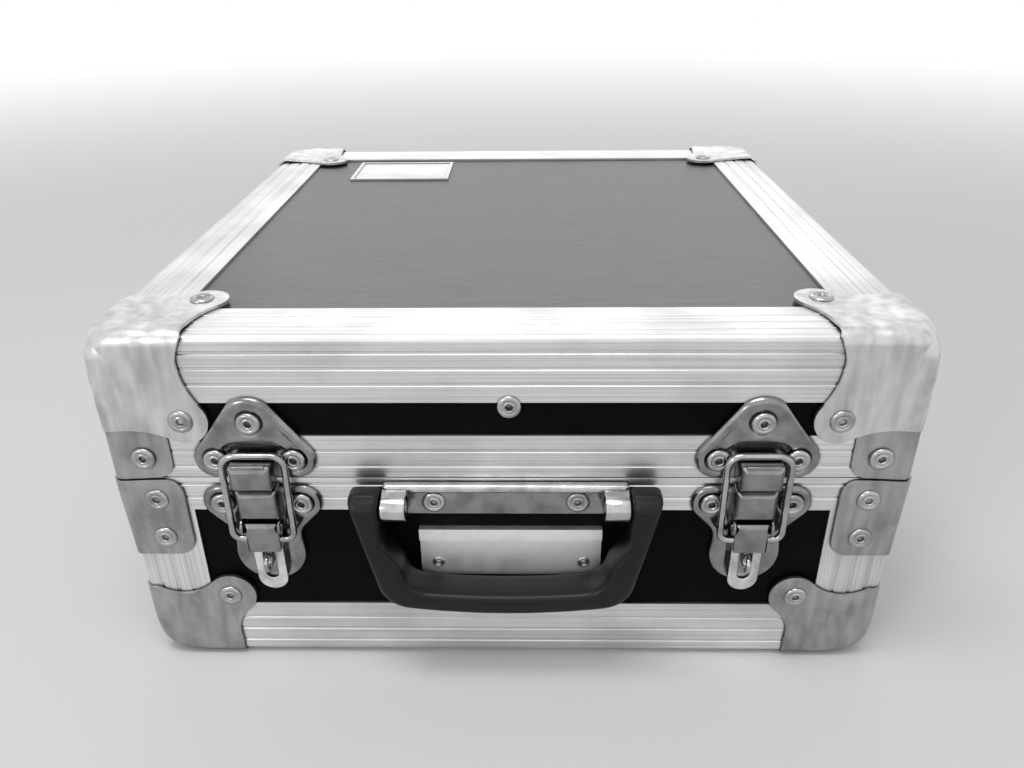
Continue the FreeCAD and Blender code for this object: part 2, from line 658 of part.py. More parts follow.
# Steel braces folded round the upright edges, as two groups of four
def brace(width, low, high, kind=None):
    """A folded plate with rounded free corners, cut back where a stamped corner covers it."""
    out, tall, wide, radius = s.plate.value, float(high - low), width.value, s.brace_corner.value
    in_x, in_low, in_high = wide - radius, radius, tall - radius
    slant = radius * math.sqrt(1 / 2)
    points = [V(-out, 0, 0)] + bent(V(in_x, 0, 0), V(in_x + slant, in_low - slant, 0), V(wide, in_low, 0))
    if kind:
        points += [V(wide, tall, 0), V(-out, tall, 0)]
    else:
        points += bent(V(wide, in_high, 0), V(in_x + slant, in_high + slant, 0), V(in_x, tall, 0))
        points += [V(-out, tall, 0)]
    skin = Part.makeBox(wide + out, wide + out, tall).cut(ridge_cutter(s.ridge_radius.value + out, tall))
    skin.translate(V(-out, -out, 0))
    inside = Part.makeBox(wide + out, wide + out, tall).cut(ridge_cutter(s.ridge_radius.value, tall))
    plate = skin.cut(inside).common(folded(Part.Face(Part.makePolygon(points + points[:1]))))
    group = []
    for name, right, back in corners:
        piece = at_corner(plate, right, back, low)
        if kind:
            piece = piece.cut(at_corner(outlines[kind], right, back, case_top, True))
        group.append(piece)
    return Part.makeCompound(group)


brace_gap = s.seam_gap * 3
brace_top = s.seam - brace_gap
solid_feature("base_braces", brace(s.brace_width, brace_top - s.brace_height, brace_top))
solid_feature("lid_braces", brace(s.lid_brace_width, s.seam + brace_gap,
                                  s.seam + s.lid_brace_height, "top"))


# Outlines round circles
def belt(circles):
    """The outline of a tight belt round circles given anticlockwise as (x, y, radius).
    A negative radius makes a hollow: the belt then passes inside that circle."""
    count, normals = len(circles), []
    for i in range(count):
        (x1, y1, r1), (x2, y2, r2) = circles[i], circles[(i + 1) % count]
        way = V(x2 - x1, y2 - y1, 0)
        lean = (r1 - r2) / way.Length
        way.normalize()
        normals.append(way * lean + V(way.y, -way.x, 0) * math.sqrt(1 - lean * lean))
    edges = []
    for i in range(count):
        (x1, y1, r1), (x2, y2, r2) = circles[i], circles[(i + 1) % count]
        first, last = normals[i - 1], normals[i]
        turn = math.atan2(first.x * last.y - first.y * last.x, first.dot(last))
        turn = abs(turn) if r1 > 0 else turn
        crown = FreeCAD.Rotation(V(0, 0, 1), math.degrees(turn / 2)).multVec(first)
        middle = V(x1, y1, 0)
        edges.append(Part.Arc(middle + first * r1, middle + crown * r1, middle + last * r1).toShape())
        edges.append(Part.LineSegment(middle + last * r1, V(x2, y2, 0) + last * r2).toShape())
    return Part.Face(Part.Wire(edges))


def standing(face, depth, thick):
    """A flat outline stood up on the front, its back at a depth (out is negative), grown outwards."""
    out = face.copy()
    out.rotate(V(0, 0, 0), V(1, 0, 0), 90)
    out.translate(V(0, depth, 0))
    return out.extrude(V(0, -thick, 0))


def section(points, width):
    """A solid with an (out, up) section, extruded both ways along X."""
    wire = Part.makePolygon([V(-width / 2, -out, up) for out, up in points + points[:1]])
    return Part.Face(wire).extrude(V(width, 0, 0))


def pressed(face):
    """A pressed plate: an outline with its outer border rounded over."""
    plate = standing(face, 0, s.keeper_wall.value)
    rim = [e for e in plate.Edges if all(abs(v.Y + s.keeper_wall.value) < s.running.value
                                         for v in e.Vertexes)]
    return plate.makeChamfer(s.press_radius.value, rim)


def faceted(rings):
    """A solid of flat faces between rings of points, closed by its first and last rings."""
    faces = [rings[0], rings[-1]]
    for near, far in zip(rings, rings[1:]):
        for i in range(len(near)):
            faces.append([near[i - 1], near[i], far[i], far[i - 1]])
    shell = Part.Shell([Part.Face(Part.makePolygon(points + points[:1])) for points in faces])
    solid = Part.Solid(shell)
    if solid.Volume < 0:
        solid.reverse()
    return solid


def crosswise(radius, out, up, width, middle=0):
    """A cylinder along X, at a place out from the front and up from the seam."""
    return Part.makeCylinder(radius, width, V(middle - width / 2, -out, up), V(1, 0, 0))


keeper_wall, hook_reach, hook_wall = s.keeper_wall.value, s.hook_reach.value, s.hook_wall.value
bar_out, bar_up, wire = s.bar_out.value, s.bar_up.value, s.wire_radius.value
pivot_out, pivot_up = s.pivot_out.value, -s.pivot_down.value
end_out, end_up = pivot_out - s.bail_in.value, pivot_up - s.bail_drop.value


def tapered(width, low, high, reach, bevel):
    """A block on the front whose four front edges are bevelled."""
    box = Part.makeBox(width, reach, high - low, V(-width / 2, -reach, low))
    return box.makeChamfer(bevel, [e for e in box.Edges if all(-v.Y > reach - bevel / 2 for v in e.Vertexes)])


def keeper():
    """The lid's plate: a rounded triangle with the hook that takes the bail's bar."""
    out, up, radius = s.keeper_low_out.value, s.keeper_low_up.value, s.keeper_low_radius.value
    plate = pressed(belt([(-out, up, radius), (out, up, radius),
                          (0, s.keeper_crown_up.value, s.keeper_top_radius.value)]))
    floor, foot_up = bar_up - wire - 2 * s.running.value, s.hook_foot.value
    lip, half_wall = floor + s.hook_lip.value, hook_wall / 2
    hook = section([(0, foot_up), (hook_reach - hook_wall, foot_up), (hook_reach, foot_up + hook_wall),
                    (hook_reach, lip - half_wall), (hook_reach - half_wall, lip), (hook_reach - hook_wall, lip),
                    (hook_reach - hook_wall, floor), (0, floor)], s.hook_width.value)
    return plate.fuse(hook.common(tapered(s.hook_width.value, foot_up, lip, hook_reach, s.hook_bevel.value)))


def latch_plate():
    """The base's plate: two riveted wings and a tail, the box over the pivot, ears and the staple."""
    wing = (s.wing_out.value, -s.wing_down.value, s.wing_radius.value)
    waist = (s.waist_out.value + s.waist_radius.value, -s.waist_down.value, -s.waist_radius.value)
    tail = (s.tail_out.value, -s.tail_down.value, s.tail_radius.value)
    plate = pressed(belt([(-tail[0],) + tail[1:], tail, waist, wing, (-wing[0],) + wing[1:],
                          (-waist[0],) + waist[1:]]))
    high, low, slope = -s.boss_top_down.value, -s.boss_low_down.value, s.boss_slope.value
    reach = s.boss_reach.value
    boss = section([(0, low), (reach - slope * bevel_share, low), (reach, low + slope * bevel_share), (reach, high - slope),
                    (reach - slope, high), (0, high)], s.boss_width.value)
    boss = boss.common(tapered(s.boss_width.value, low, high, reach, slope / 2))
    parts = [boss]
    inner = s.lever_width.value / 2 + s.ear_gap.value
    for sign in (-1, 1):
        middle, round_ear = sign * (inner + s.ear_wall.value / 2), s.ear_radius.value
        ear = Part.makeBox(s.ear_wall.value, pivot_out, 2 * round_ear,
                           V(middle - s.ear_wall.value / 2, -pivot_out, pivot_up - round_ear))
        parts += [ear, crosswise(round_ear, pivot_out, pivot_up, s.ear_wall.value, middle)]
    half, end = s.staple_half.value, s.staple_reach.value - s.staple_half.value
    level, thick = -s.staple_down.value, s.staple_width.value
    parts += [Part.makeBox(thick, end, 2 * half, V(-thick / 2, -end, level - half)),
              crosswise(half, end, level, thick)]
    whole = plate.fuse(parts).removeSplitter()
    pin = crosswise(s.pivot_radius.value + s.running.value, pivot_out, pivot_up, s.bail_width.value)
    return whole.cut([pin, crosswise(s.staple_hole.value, end, level, 2 * thick)])


def lever():
    """The lever: a pressed box over the pivot, open at its back, with a slotted tongue."""
    width, wall = s.lever_width.value, s.lever_wall.value
    front, back = s.lever_front.value, s.lever_back.value
    top, low = pivot_up + s.lever_top.value, pivot_up - s.lever_low.value
    box = Part.makeBox(width, front - back, top - low, V(-width / 2, -front, low))
    box = box.common(tapered(width, low, top, front, s.lever_bevel.value)).cut(Part.makeBox(width - 2 * wall, front - back, top - low - 2 * wall,
                               V(wall - width / 2, wall - front, low + wall)))
    wide, end = s.tongue_plate_width.value, pivot_up - s.tongue_end.value
    root, tip = s.tongue_root_out.value, s.tongue_end_out.value
    tongue = section([(root, low + wall / 2), (root + wall, low + wall / 2), (tip + wall, end), (tip, end)],
                     wide)
    inside, past = wide / 2, s.overrun.value
    outline = Part.makeBox(wide, front + past, low + wall - end - inside, V(-inside, -front - past, end + inside))
    outline = outline.fuse(Part.makeCylinder(inside, front + past, V(0, 0, end + inside), V(0, -1, 0)))
    half = s.slot_half.value
    high, down = pivot_up - s.slot_top.value - half, pivot_up - s.slot_end.value + half
    slot = standing(belt([(0, down, half), (0, high, half)]), 0, front + past)
    whole = box.fuse(tongue.common(outline)).removeSplitter().cut(slot)
    clear = s.running.value
    return whole.cut([crosswise(s.pivot_radius.value + clear, pivot_out, pivot_up, 2 * width),
                      crosswise(wire + clear, end_out, end_up, 2 * width)])


def bail():
    """The bail: one bent wire whose ends turn in through the lever's cheeks."""
    half, bend, hook = s.bail_width.value / 2, s.bail_corner.value, s.bail_end_bend.value
    tall = math.hypot(bar_up - end_up, bar_out - end_out)
    inner = s.lever_width.value / 2 - 2 * s.lever_wall.value
    cut = 1 - math.sqrt(1 / 2)
    right = [V(inner, 0, 0)]
    right += bent(V(half - hook, 0, 0), V(half - hook * cut, hook * cut, 0), V(half, hook, 0), s.wire_radius)
    right += bent(V(half, tall - bend, 0), V(half - bend * cut, tall - bend * cut, 0),
                  V(half - bend, tall, 0), s.wire_radius)
    path = right + [V(-p.x, p.y, 0) for p in reversed(right)]
    steps = [(b - a).normalize() for a, b in zip(path, path[1:])]
    rings = []
    for i, point in enumerate(path):
        ahead = steps[min(i, len(steps) - 1)] + steps[max(i - 1, 0)]
        across = V(ahead.y, -ahead.x, 0).normalize() * (2 * wire / ahead.Length)
        ring = []
        for side in range(wire_sides):
            turn = 2 * math.pi * (side + 1 / 2) / wire_sides
            ring.append(point + across * math.cos(turn) + V(0, 0, wire * math.sin(turn)))
        rings.append(ring)
    loop = faceted(rings)
    lean = FreeCAD.Rotation(V(1, 0, 0), 90 + math.degrees(math.atan2(bar_out - end_out, bar_up - end_up)))
    return loop.transformGeometry(FreeCAD.Placement(V(0, -end_out, end_up), lean).toMatrix())


latches = (("left", latch_left), ("right", latch_right))
front_makers = (("keeper_plate", keeper()), ("latch_plate", latch_plate()), ("lever", lever()),
                ("wire_bail", bail()))
for side, place in latches:
    for name, shape in front_makers:
        piece = solid_feature("%s_%s" % (name, side), shape.copy())
        at_side(piece, "front", place, 0, s.seam)
pin_reach = s.lever_width.value + 2 * (s.ear_gap.value + s.ear_wall.value + s.ear_wall.value / 2)
pins = []
for side, place in latches:
    pin = crosswise(s.pivot_radius.value, pivot_out, pivot_up, pin_reach)
    pin.translate(V(float(place), 0, 0))
    pins.append(pin)
at_side(solid_feature("lever_pins", Part.makeCompound(pins)), "front", 0, 0, s.seam)


# Handle bracket and grip
def bracket():
    """A riveted band with a bead along its top and both ends rolled into barrels."""
    wide, wall, tall = 2 * bracket_half.value, s.bracket_wall.value, s.bracket_height.value
    low = -s.bracket_down.value - tall / 2
    level, out, radius = -s.handle_down.value, s.handle_out.value, s.barrel_radius.value
    band = Part.makeBox(wide, wall, tall, V(-wide / 2, -wall, low))
    bead, reach = s.bead_height.value, s.bead_reach.value
    top, bevel = low + tall, bead * bevel_share
    edge = section([(0, top), (reach - bevel, top), (reach, top + bevel), (reach, top + bead / 2),
                    (reach / 2, top + bead), (0, top + bead)], wide)
    parts = [edge]
    for sign in (-1, 1):
        middle = sign * (wide - s.barrel_width.value) / 2
        parts += [crosswise(radius, out, level, s.barrel_width.value, middle),
                  Part.makeBox(s.barrel_width.value, out, 2 * radius,
                               V(middle - s.barrel_width.value / 2, -out, level - radius))]
    bore = crosswise(s.stub_radius.value + s.running.value, out, level, 2 * wide)
    return band.fuse(parts).removeSplitter().cut(bore)


def grip_outline(half, high, low, lean, corner, tip, bow):
    """A loop with two leaning sides, rounded tops and lower corners, and a bowed bottom."""
    span, level = half - lean - corner, low + bow + corner
    sides_in = V(half - tip, high - tip, 0) - V(span, level, 0)
    slope = math.acos((corner - tip) / sides_in.Length) - math.atan2(sides_in.y, sides_in.x)
    out = V(math.cos(slope), -math.sin(slope), 0)
    bow_radius = (span * span + bow * bow) / (2 * bow)
    drop = V(span, bow - bow_radius, 0).normalize()
    foot_at, side_at = V(span, level, 0) + drop * corner, V(span, level, 0) + out * corner
    turn_at = V(span, level, 0) + (drop + out).normalize() * corner
    top_at, tip_at = V(half - tip, high - tip, 0) + out * tip, V(half - tip, high, 0)
    tip_turn = V(half - tip, high - tip, 0) + (out + V(0, 1, 0)).normalize() * tip
    edges = [Part.Arc(foot_at, turn_at, side_at), Part.LineSegment(side_at, top_at), Part.Arc(top_at, tip_turn, tip_at)]
    mirrored = [V(-p.x, p.y, 0) for p in (foot_at, turn_at, side_at, top_at, tip_turn, tip_at)]
    edges += [Part.LineSegment(tip_at, mirrored[5]), Part.Arc(mirrored[5], mirrored[4], mirrored[3]),
              Part.LineSegment(mirrored[3], mirrored[2]), Part.Arc(mirrored[2], mirrored[1], mirrored[0]),
              Part.Arc(mirrored[0], V(0, low, 0), foot_at)]
    return Part.Face(Part.Wire([edge.toShape() for edge in edges]))


def grip():
    """The moulded handle: two arms and a bowed bar, with a pin on the inside of each arm."""
    top, drop, arm = s.grip_top.value, -s.grip_drop.value, s.grip_arm.value
    half, lean, bow, tip = handle_half.value, s.grip_lean.value, s.grip_bow.value, s.grip_tip.value
    outer = grip_outline(half, top, drop, lean, s.grip_corner.value, tip, bow)
    inner = grip_outline(half - arm, top + s.overrun.value, drop + s.grip_bar.value, lean,
                         s.grip_inner_corner.value, s.overrun.value / 2, bow / 2)
    depth, reach = s.grip_depth.value, half - arm
    whole = standing(outer.cut(inner).Faces[0], depth / 2, depth)
    rims = [e for e in whole.Edges if abs(abs(e.Vertexes[0].Y) - depth / 2) < s.running.value
            and abs(e.Vertexes[0].Y - e.Vertexes[-1].Y) < s.running.value]
    whole = whole.makeChamfer(s.grip_round.value, rims)
    band_low = s.bracket_down + s.bracket_height / 2 - s.handle_down
    swept = math.hypot(s.handle_out.value, max(s.barrel_radius.value, band_low.value)) + s.grip_gap.value
    whole = whole.cut(crosswise(swept, 0, 0, 2 * reach))
    crown = Part.makeBox(2 * half, depth, top, V(-half, -depth / 2, 0))
    whole = whole.cut(crown.cut(crosswise(s.handle_out.value - s.grip_gap.value, 0, 0, 2 * half)))
    for sign in (-1, 1):
        stub = Part.makeCylinder(s.stub_radius.value, s.stub_length.value + arm / 2,
                                 V(sign * (reach + arm / 2), 0, 0), V(-sign, 0, 0))
        whole = whole.fuse(stub)
    return whole.removeSplitter()


at_side(solid_feature("handle_bracket", bracket()), "front", -s.row_shift, 0, s.seam)
at_side(solid_feature("handle_grip", grip()), "front", -s.row_shift, -s.handle_out, s.seam - s.handle_down)

# Card holder: a plate with a rolled lip, and the blank label plate on the lid
card = doc.addObject("PartDesign::Body", "card_holder")
tall, wall, lip, reach = s.card_height, s.card_wall, s.card_lip, s.card_lip_reach
profile = sketch_loops(card, "YZ_Plane", "card_profile", [[
    (0, 0), (-wall, 0), (-wall, tall - wall), (wall - reach, tall - wall), (wall - reach, tall - lip),
    (-reach, tall - lip), (-reach, tall), (0, tall)]])
pad = card.newObject("PartDesign::Pad", "card_pad")
pad.Profile, pad.Midplane = profile, True
pad.setExpression("Length", (2 * card_half).text)
card_low = s.seam - s.card_top_down - s.card_height
at_side(card, "front", 0, s.angle_wall, card_low)
node(card, "card_holder")

label = doc.addObject("Part::Cut", "label_plate")
label.Base = block("label_blank", s.label_width, s.label_depth, s.label_height)
label.Tool = block("label_recess", s.label_width - 2 * s.label_border, s.label_depth - 2 * s.label_border,
                   s.label_height)
label_x = s.label_left_in - s.case_width / 2
label_y = shift + s.case_depth / 2 - s.label_back_in - s.label_depth
panel_top = case_top - s.angle_wall
turned(label.Base, 0, label_x, label_y, panel_top)
turned(label.Tool, 0, label_x + s.label_border, label_y + s.label_border, panel_top + s.label_sheet)
node(label, "label_plate")


# Hinges: two leaves with interleaved knuckles round a pin
def hinge_leaf(up, tall, odd):
    """One leaf above or below the seam; its knuckles are the odd or the even ones."""
    wide, wall, gap = s.hinge_width.value, s.hinge_wall.value, s.knuckle_gap.value
    out, radius, share = s.knuckle_out.value, s.knuckle_radius.value, s.hinge_width.value / knuckle_count
    low, high = (gap, tall) if up else (-tall, -gap)
    leaf = Part.makeBox(wide, wall, high - low, V(-wide / 2, -wall, low))
    knuckles, clears = [], []
    for i in range(knuckle_count):
        middle = (i + 1 / 2) * share - wide / 2
        if (i % 2 == 0) == odd:
            knuckles.append(crosswise(radius, out, 0, share - gap, middle))
        else:
            clears.append(crosswise(radius + gap, out, 0, share + gap, middle))
            clears.append(Part.makeBox(share + gap, wall, 2 * (radius + gap),
                                       V(middle - (share + gap) / 2, -wall, -radius - gap)))
    leaf = leaf.cut(clears).fuse(knuckles).removeSplitter()
    return leaf.cut(crosswise(s.hinge_pin_radius.value + s.running.value, out, 0, 2 * wide))


hinge_places = [sign * (s.case_width / 2 - s.hinge_in).value for sign in (-1, 1)]


def pair(shape):
    """Two copies, one for each hinge."""
    copies = []
    for place in hinge_places:
        copy = shape.copy()
        copy.translate(V(place, 0, 0))
        copies.append(copy)
    return Part.makeCompound(copies)


hinge_pin = crosswise(s.hinge_pin_radius.value, s.knuckle_out.value, 0, s.hinge_width.value)
for name, shape in (("lower_hinge_leaves", hinge_leaf(False, s.lower_leaf.value, True)),
                    ("upper_hinge_leaves", hinge_leaf(True, s.upper_leaf.value, False)),
                    ("hinge_pins", hinge_pin)):
    at_side(solid_feature(name, pair(shape)), "back", 0, 0, s.seam)


# Foam pads on the base's floor and under the lid
for name, low in (("base_floor_foam", floor_top + s.foam_clear),
                  ("lid_foam", case_top - inner_face - s.foam_clear - s.foam)):
    inset = inner_face + s.foam_clear
    length, width = s.case_width - 2 * inset, s.case_depth - 2 * inset
    pad = block(name, length, width, s.foam)
    turned(pad, 0, -length / 2, shift - width / 2, low)
    node(pad, name)


# Rivet heads: low cones with a flat crown
def head(radius):
    """A rivet's head, standing up from zero: a low cone with flats and a level crown."""
    share = radius.value / s.rivet_radius.value
    rings = []
    for wide, z in ((s.rivet_radius.value, 0), (s.rivet_crown.value, s.rivet_height.value)):
        ring = [V(wide * share * math.cos(2 * math.pi * i / head_sides),
                  wide * share * math.sin(2 * math.pi * i / head_sides), z * share) for i in range(head_sides)]
        rings.append(ring)
    return faceted(rings)


def rivet(side, along, out, z, radius=s.rivet_radius):
    """A head on one side of the case, standing out from a plane given by its distance out."""
    piece = head(radius)
    piece.rotate(V(0, 0, 0), V(1, 0, 0), 90)
    piece.translate(V(float(along), -float(out) - run("right" if side in ("front", "back") else "front").value / 2,
                      float(z)))
    piece.rotate(V(0, 0, 0), V(0, 0, 1), sides[side])
    piece.translate(V(0, shift.value, 0))
    return piece


def corner_rivets(inset, out, z):
    """The same rivet on both faces of each upright edge."""
    return [rivet(side, sign * (run(side) / 2 - inset), out, z) for side in sides for sign in (-1, 1)]


base_heads = corner_rivets(s.low_lobe_in, s.plate, foot + s.low_lobe_up)
for down in (s.brace_rivet_down, s.brace_rivet_down + s.brace_rivet_pitch):
    base_heads += corner_rivets(s.brace_rivet_in, s.plate, s.seam - down)
lid_heads = corner_rivets(s.top_lobe_in, s.plate, s.seam + s.top_lobe_up)
lid_heads += corner_rivets(s.brace_rivet_in - s.plate, s.plate, s.seam + s.brace_rivet_down)
for side, place in latches:
    for sign in (-1, 1):
        base_heads.append(rivet("front", place + sign * s.wing_out, s.keeper_wall, s.seam - s.wing_down))
        lid_heads.append(rivet("front", place + sign * s.keeper_low_out, s.keeper_wall,
                               s.seam + s.keeper_low_up))
    lid_heads.append(rivet("front", place, s.keeper_wall, s.seam + s.keeper_top_up))
for sign in (-1, 1):
    base_heads.append(rivet("front", sign * bracket_rivet_out - s.row_shift, s.bracket_wall,
                            s.seam - s.bracket_down))
    for place in hinge_places:
        along = place + sign * s.hinge_rivet_out
        base_heads.append(rivet("back", along, s.hinge_wall, s.seam - (s.lower_leaf + s.knuckle_radius) / 2))
        lid_heads.append(rivet("back", along, s.hinge_wall, s.seam + (s.upper_leaf + s.knuckle_radius) / 2))
lid_heads.append(rivet("front", 0, 0, case_top - s.angle_leg - s.lid_rivet_drop))
for right in (-1, 1):
    for back in (-1, 1):
        x = right * (s.case_width / 2 - s.top_lobe_flat)
        y = shift + back * (s.case_depth / 2 - s.top_lobe_flat)
        piece = head(s.rivet_radius)
        piece.translate(V(float(x), float(y), float(case_top + s.plate)))
        lid_heads.append(piece)
card_heads = [rivet("front", sign * (card_half - s.card_rivet_in), s.card_wall - s.angle_wall, card_low + s.card_rivet_up,
                    s.small_rivet_radius) for sign in (-1, 1)]
for name, heads in (("base_rivets", base_heads), ("lid_rivets", lid_heads), ("card_rivets", card_heads)):
    solid_feature(name, Part.makeCompound(heads))

# Every sub-part is checked before any file is written
doc.recompute()
faults = [obj.Label for obj in doc.Objects if "Invalid" in obj.State or "Error" in obj.State]
for part in nodes:
    if part.Shape.isNull() or not part.Shape.isValid() or not part.Shape.Solids:
        faults.append(part.Label)
if faults:
    raise RuntimeError("not written, because these failed: " + ", ".join(faults))
os.makedirs("parts", exist_ok=True)
for part in nodes:
    part.Shape.exportStep(os.path.join("parts", part.Label + ".step"))
print("wrote", len(nodes), "sub-parts")
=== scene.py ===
import math

import bmesh
import bpy
import numpy as np
from mathutils import Matrix, Vector


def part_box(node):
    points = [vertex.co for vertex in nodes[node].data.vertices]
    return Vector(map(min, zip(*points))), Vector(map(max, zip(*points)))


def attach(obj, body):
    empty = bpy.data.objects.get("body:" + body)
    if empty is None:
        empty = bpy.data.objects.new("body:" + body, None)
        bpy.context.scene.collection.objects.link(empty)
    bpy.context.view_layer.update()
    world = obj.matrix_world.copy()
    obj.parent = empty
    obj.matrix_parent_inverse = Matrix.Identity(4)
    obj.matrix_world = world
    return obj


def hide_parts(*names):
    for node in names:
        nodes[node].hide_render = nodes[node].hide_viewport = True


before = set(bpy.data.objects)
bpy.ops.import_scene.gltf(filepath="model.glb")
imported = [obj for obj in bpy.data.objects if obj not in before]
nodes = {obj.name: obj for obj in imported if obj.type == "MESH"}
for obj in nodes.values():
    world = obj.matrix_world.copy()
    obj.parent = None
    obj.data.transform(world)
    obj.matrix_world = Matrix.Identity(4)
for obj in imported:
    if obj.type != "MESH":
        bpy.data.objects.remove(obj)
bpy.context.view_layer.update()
mm = 0.001
print("frame loaded:", len(nodes), "nodes")


# colour and node helpers
def hexColour(text):
    # sRGB hex to linear, with full alpha
    steps = [int(text[i:i + 2], 16) / 255 for i in (1, 3, 5)]
    return tuple(c / 12.92 if c <= 0.04045 else ((c + 0.055) / 1.055) ** 2.4 for c in steps) + (1.0,)


def addNode(tree, kind, values=None, links=None, stops=None, **settings):
    # one shader node with its settings, socket values, incoming links and, on a ramp, its (place, hex)
    # stops
    node = tree.nodes.new(kind)
    for name, value in settings.items():
        setattr(node, name, value)
    for name, value in (values or {}).items():
        node.inputs[name].default_value = value
    for name, socket in (links or {}).items():
        tree.links.new(socket, node.inputs[name])
    for i, (place, colour) in enumerate(stops or []):
        if i > 1:
            node.color_ramp.elements.new(place)
        node.color_ramp.elements[i].position = place
        node.color_ramp.elements[i].color = hexColour(colour)
    return node


def newMaterial(name):
    # an empty material, its node tree and the object coordinates that its patterns use
    material = bpy.data.materials.new(name)
    material.use_nodes = True
    tree = material.node_tree
    tree.nodes.clear()
    return material, tree, addNode(tree, "ShaderNodeTexCoord").outputs["Object"]


def finish(name, look, **changes):
    # every finish is built alike from its look: noise patterns, each with its cells' size in mm along X, Y
    # and Z, its detail and its roughness; layers, each at a share, that are multiplied into the tint from a
    # ramp over a pattern; a gloss over a pattern; and bumps of a depth in mm. Its ambient occlusion pattern
    # is painted shade: it turns the colour dark where other surfaces are near, in gaps and recesses and under
    # nearby parts.
    look = {**look, **changes}
    material, tree, place = newMaterial(name)
    made = {}
    for pattern, (size, detail, roughness) in look["patterns"].items():
        cells = addNode(tree, "ShaderNodeMapping", {"Scale": [1 / (step * mm) for step in size]},
                        {"Vector": place})
        noise = addNode(tree, "ShaderNodeTexNoise", {"Scale": 1.0, "Detail": detail, "Roughness": roughness},
                        {"Vector": cells.outputs[0]})
        made[pattern] = noise.outputs["Fac"]
    # painted shade: ambient occlusion within the look's reach, in mm, darkens the colour near other surfaces
    if "gaps" in look:
        gaps = addNode(tree, "ShaderNodeAmbientOcclusion", {"Distance": look["gaps"] * mm}, samples=6)
        made["gaps"] = gaps.outputs["AO"]
    if "mixed" in look:
        first, second, share = look["mixed"]
        mixed = addNode(tree, "ShaderNodeMix", {0: share}, {2: made[first], 3: made[second]})
        made["mixed"] = mixed.outputs[0]
    tint, under = hexColour(look.get("tint", "#ffffff")), {}
    for pattern, share, *stops in (look["tone"], *look.get("layers", ())):
        layer = addNode(tree, "ShaderNodeValToRGB", links={"Fac": made[pattern]}, stops=stops)
        colour = addNode(tree, "ShaderNodeMix", {0: share, 6: tint}, {7: layer.outputs["Color"], **under},
                         data_type="RGBA", blend_type="MULTIPLY").outputs[2]
        under = {6: colour}
    pattern, start, end = look["gloss"]
    ends = {"From Min": start[0], "To Min": start[1], "From Max": end[0], "To Max": end[1]}
    rough = addNode(tree, "ShaderNodeMapRange", ends, {"Value": made[pattern]})
    surface = {}
    for pattern, depth in look["bumps"]:
        bump = addNode(tree, "ShaderNodeBump", {"Distance": depth * mm}, {"Height": made[pattern], **surface})
        surface = {"Normal": bump.outputs[0]}
    shader = addNode(tree, "ShaderNodeBsdfPrincipled", look["shader"],
                     {"Base Color": colour, "Roughness": rough.outputs[0], **surface})
    addNode(tree, "ShaderNodeOutputMaterial", links={"Surface": shader.outputs[0]})
    return material


# black laminate: phenolic film rolled onto plywood, near black, whose fine leathery ripple spreads a broad
# sheen. The lid's top gets a copy with a painted sheen: its colour is paler and it is shinier.
laminateLook = {"patterns": {"ripple": ((16.0, 2.4, 16.0), 4.0, 0.6), "leather": ((2.6, 1.5, 2.6), 2.0, 0.5)},
                "tone": ("ripple", 1.0, (0.38, "#070708"), (0.66, "#0c0c0d")),
                "gloss": ("ripple", (0, 0.36), (1, 0.50)), "bumps": (("ripple", 0.07), ("leather", 0.03)),
                "shader": {"Specular IOR Level": 0.05}}
laminate = finish("blackLaminateBoard", laminateLook)
# painted sheen: the lid's top is a paler copy of the laminate
sheenPaintedTopLaminate = finish("blackLaminateTopPaintedSheen", laminateLook,
                     tone=("ripple", 1.0, (0.38, "#0c0c0d"), (0.66, "#3c3c3e")),
                     gloss=("ripple", (0, 0.27), (1, 0.37)), shader={"Specular IOR Level": 0.85})

# drawn aluminium: mill-finish extrusion with fine die lines along its run, dull patches and specks, and
# painted shade in its gaps and channels
aluminium = []
for run in range(3):
    line = [160.0 if axis == run else 0.45 for axis in range(3)]
    aluminiumLook = {
        "patterns": {"lines": (line, 2.0, 0.5), "patch": ((45.0,) * 3, 5.0, 0.5),
                     "speck": ((1.5,) * 3, 3.0, 0.7)},
        "tone": ("patch", 1.0, (0.36, "#d6d6d7"), (0.58, "#ebebeb")), "gaps": 1.3,
        "layers": (("lines", 1.0, (0.3, "#e2e2e2"), (0.6, "#ffffff")),
                   ("speck", 0.6, (0.27, "#8c8c8c"), (0.32, "#ffffff")),
                   ("gaps", 1.0, (0.4, "#3c3c3c"), (0.93, "#ffffff"))),
        "gloss": ("patch", (0.3, 0.44), (0.7, 0.30)), "bumps": (("lines", 0.012),),
        "shader": {"Metallic": 1.0}}
    aluminium.append(finish("drawnAluminium" + "XYZ"[run], aluminiumLook))

# dull plated steel: soft clouds of grey over shallow dents and press wrinkles, with a few dark nicks and
# painted shade near other surfaces. The lid's corners get a paler copy of it: painted light.
steelLook = {"patterns": {"cloud": ((24.0,) * 3, 6.0, 0.6), "dent": ((15.0,) * 3, 2.0, 0.5),
                          "wrinkle": ((5.0, 5.0, 24.0), 2.0, 0.5), "nick": ((1.6,) * 3, 4.0, 0.75)},
             "mixed": ("cloud", "wrinkle", 0.45), "gaps": 1.8,
             "tone": ("mixed", 1.0, (0.38, "#8e8e8e"), (0.60, "#b4b4b3")),
             "layers": (("nick", 0.7, (0.27, "#5a5a5a"), (0.33, "#ffffff")),
                        ("gaps", 1.0, (0.3, "#1c1c1c"), (0.85, "#ffffff"))),
             "gloss": ("cloud", (0.3, 0.42), (0.7, 0.30)), "bumps": (("dent", 0.5), ("wrinkle", 0.10)),
             "shader": {"Metallic": 1.0}}
# painted light: a paler, lit copy of the steel for the lid's corners
paintedLitCornerSteel = finish("lidCornerSteelPaintedLight", steelLook, tone=("mixed", 1.0, (0.38, "#b8b8b8"), (0.60, "#dededd")))
steel = finish("dullPlatedSteel", steelLook)
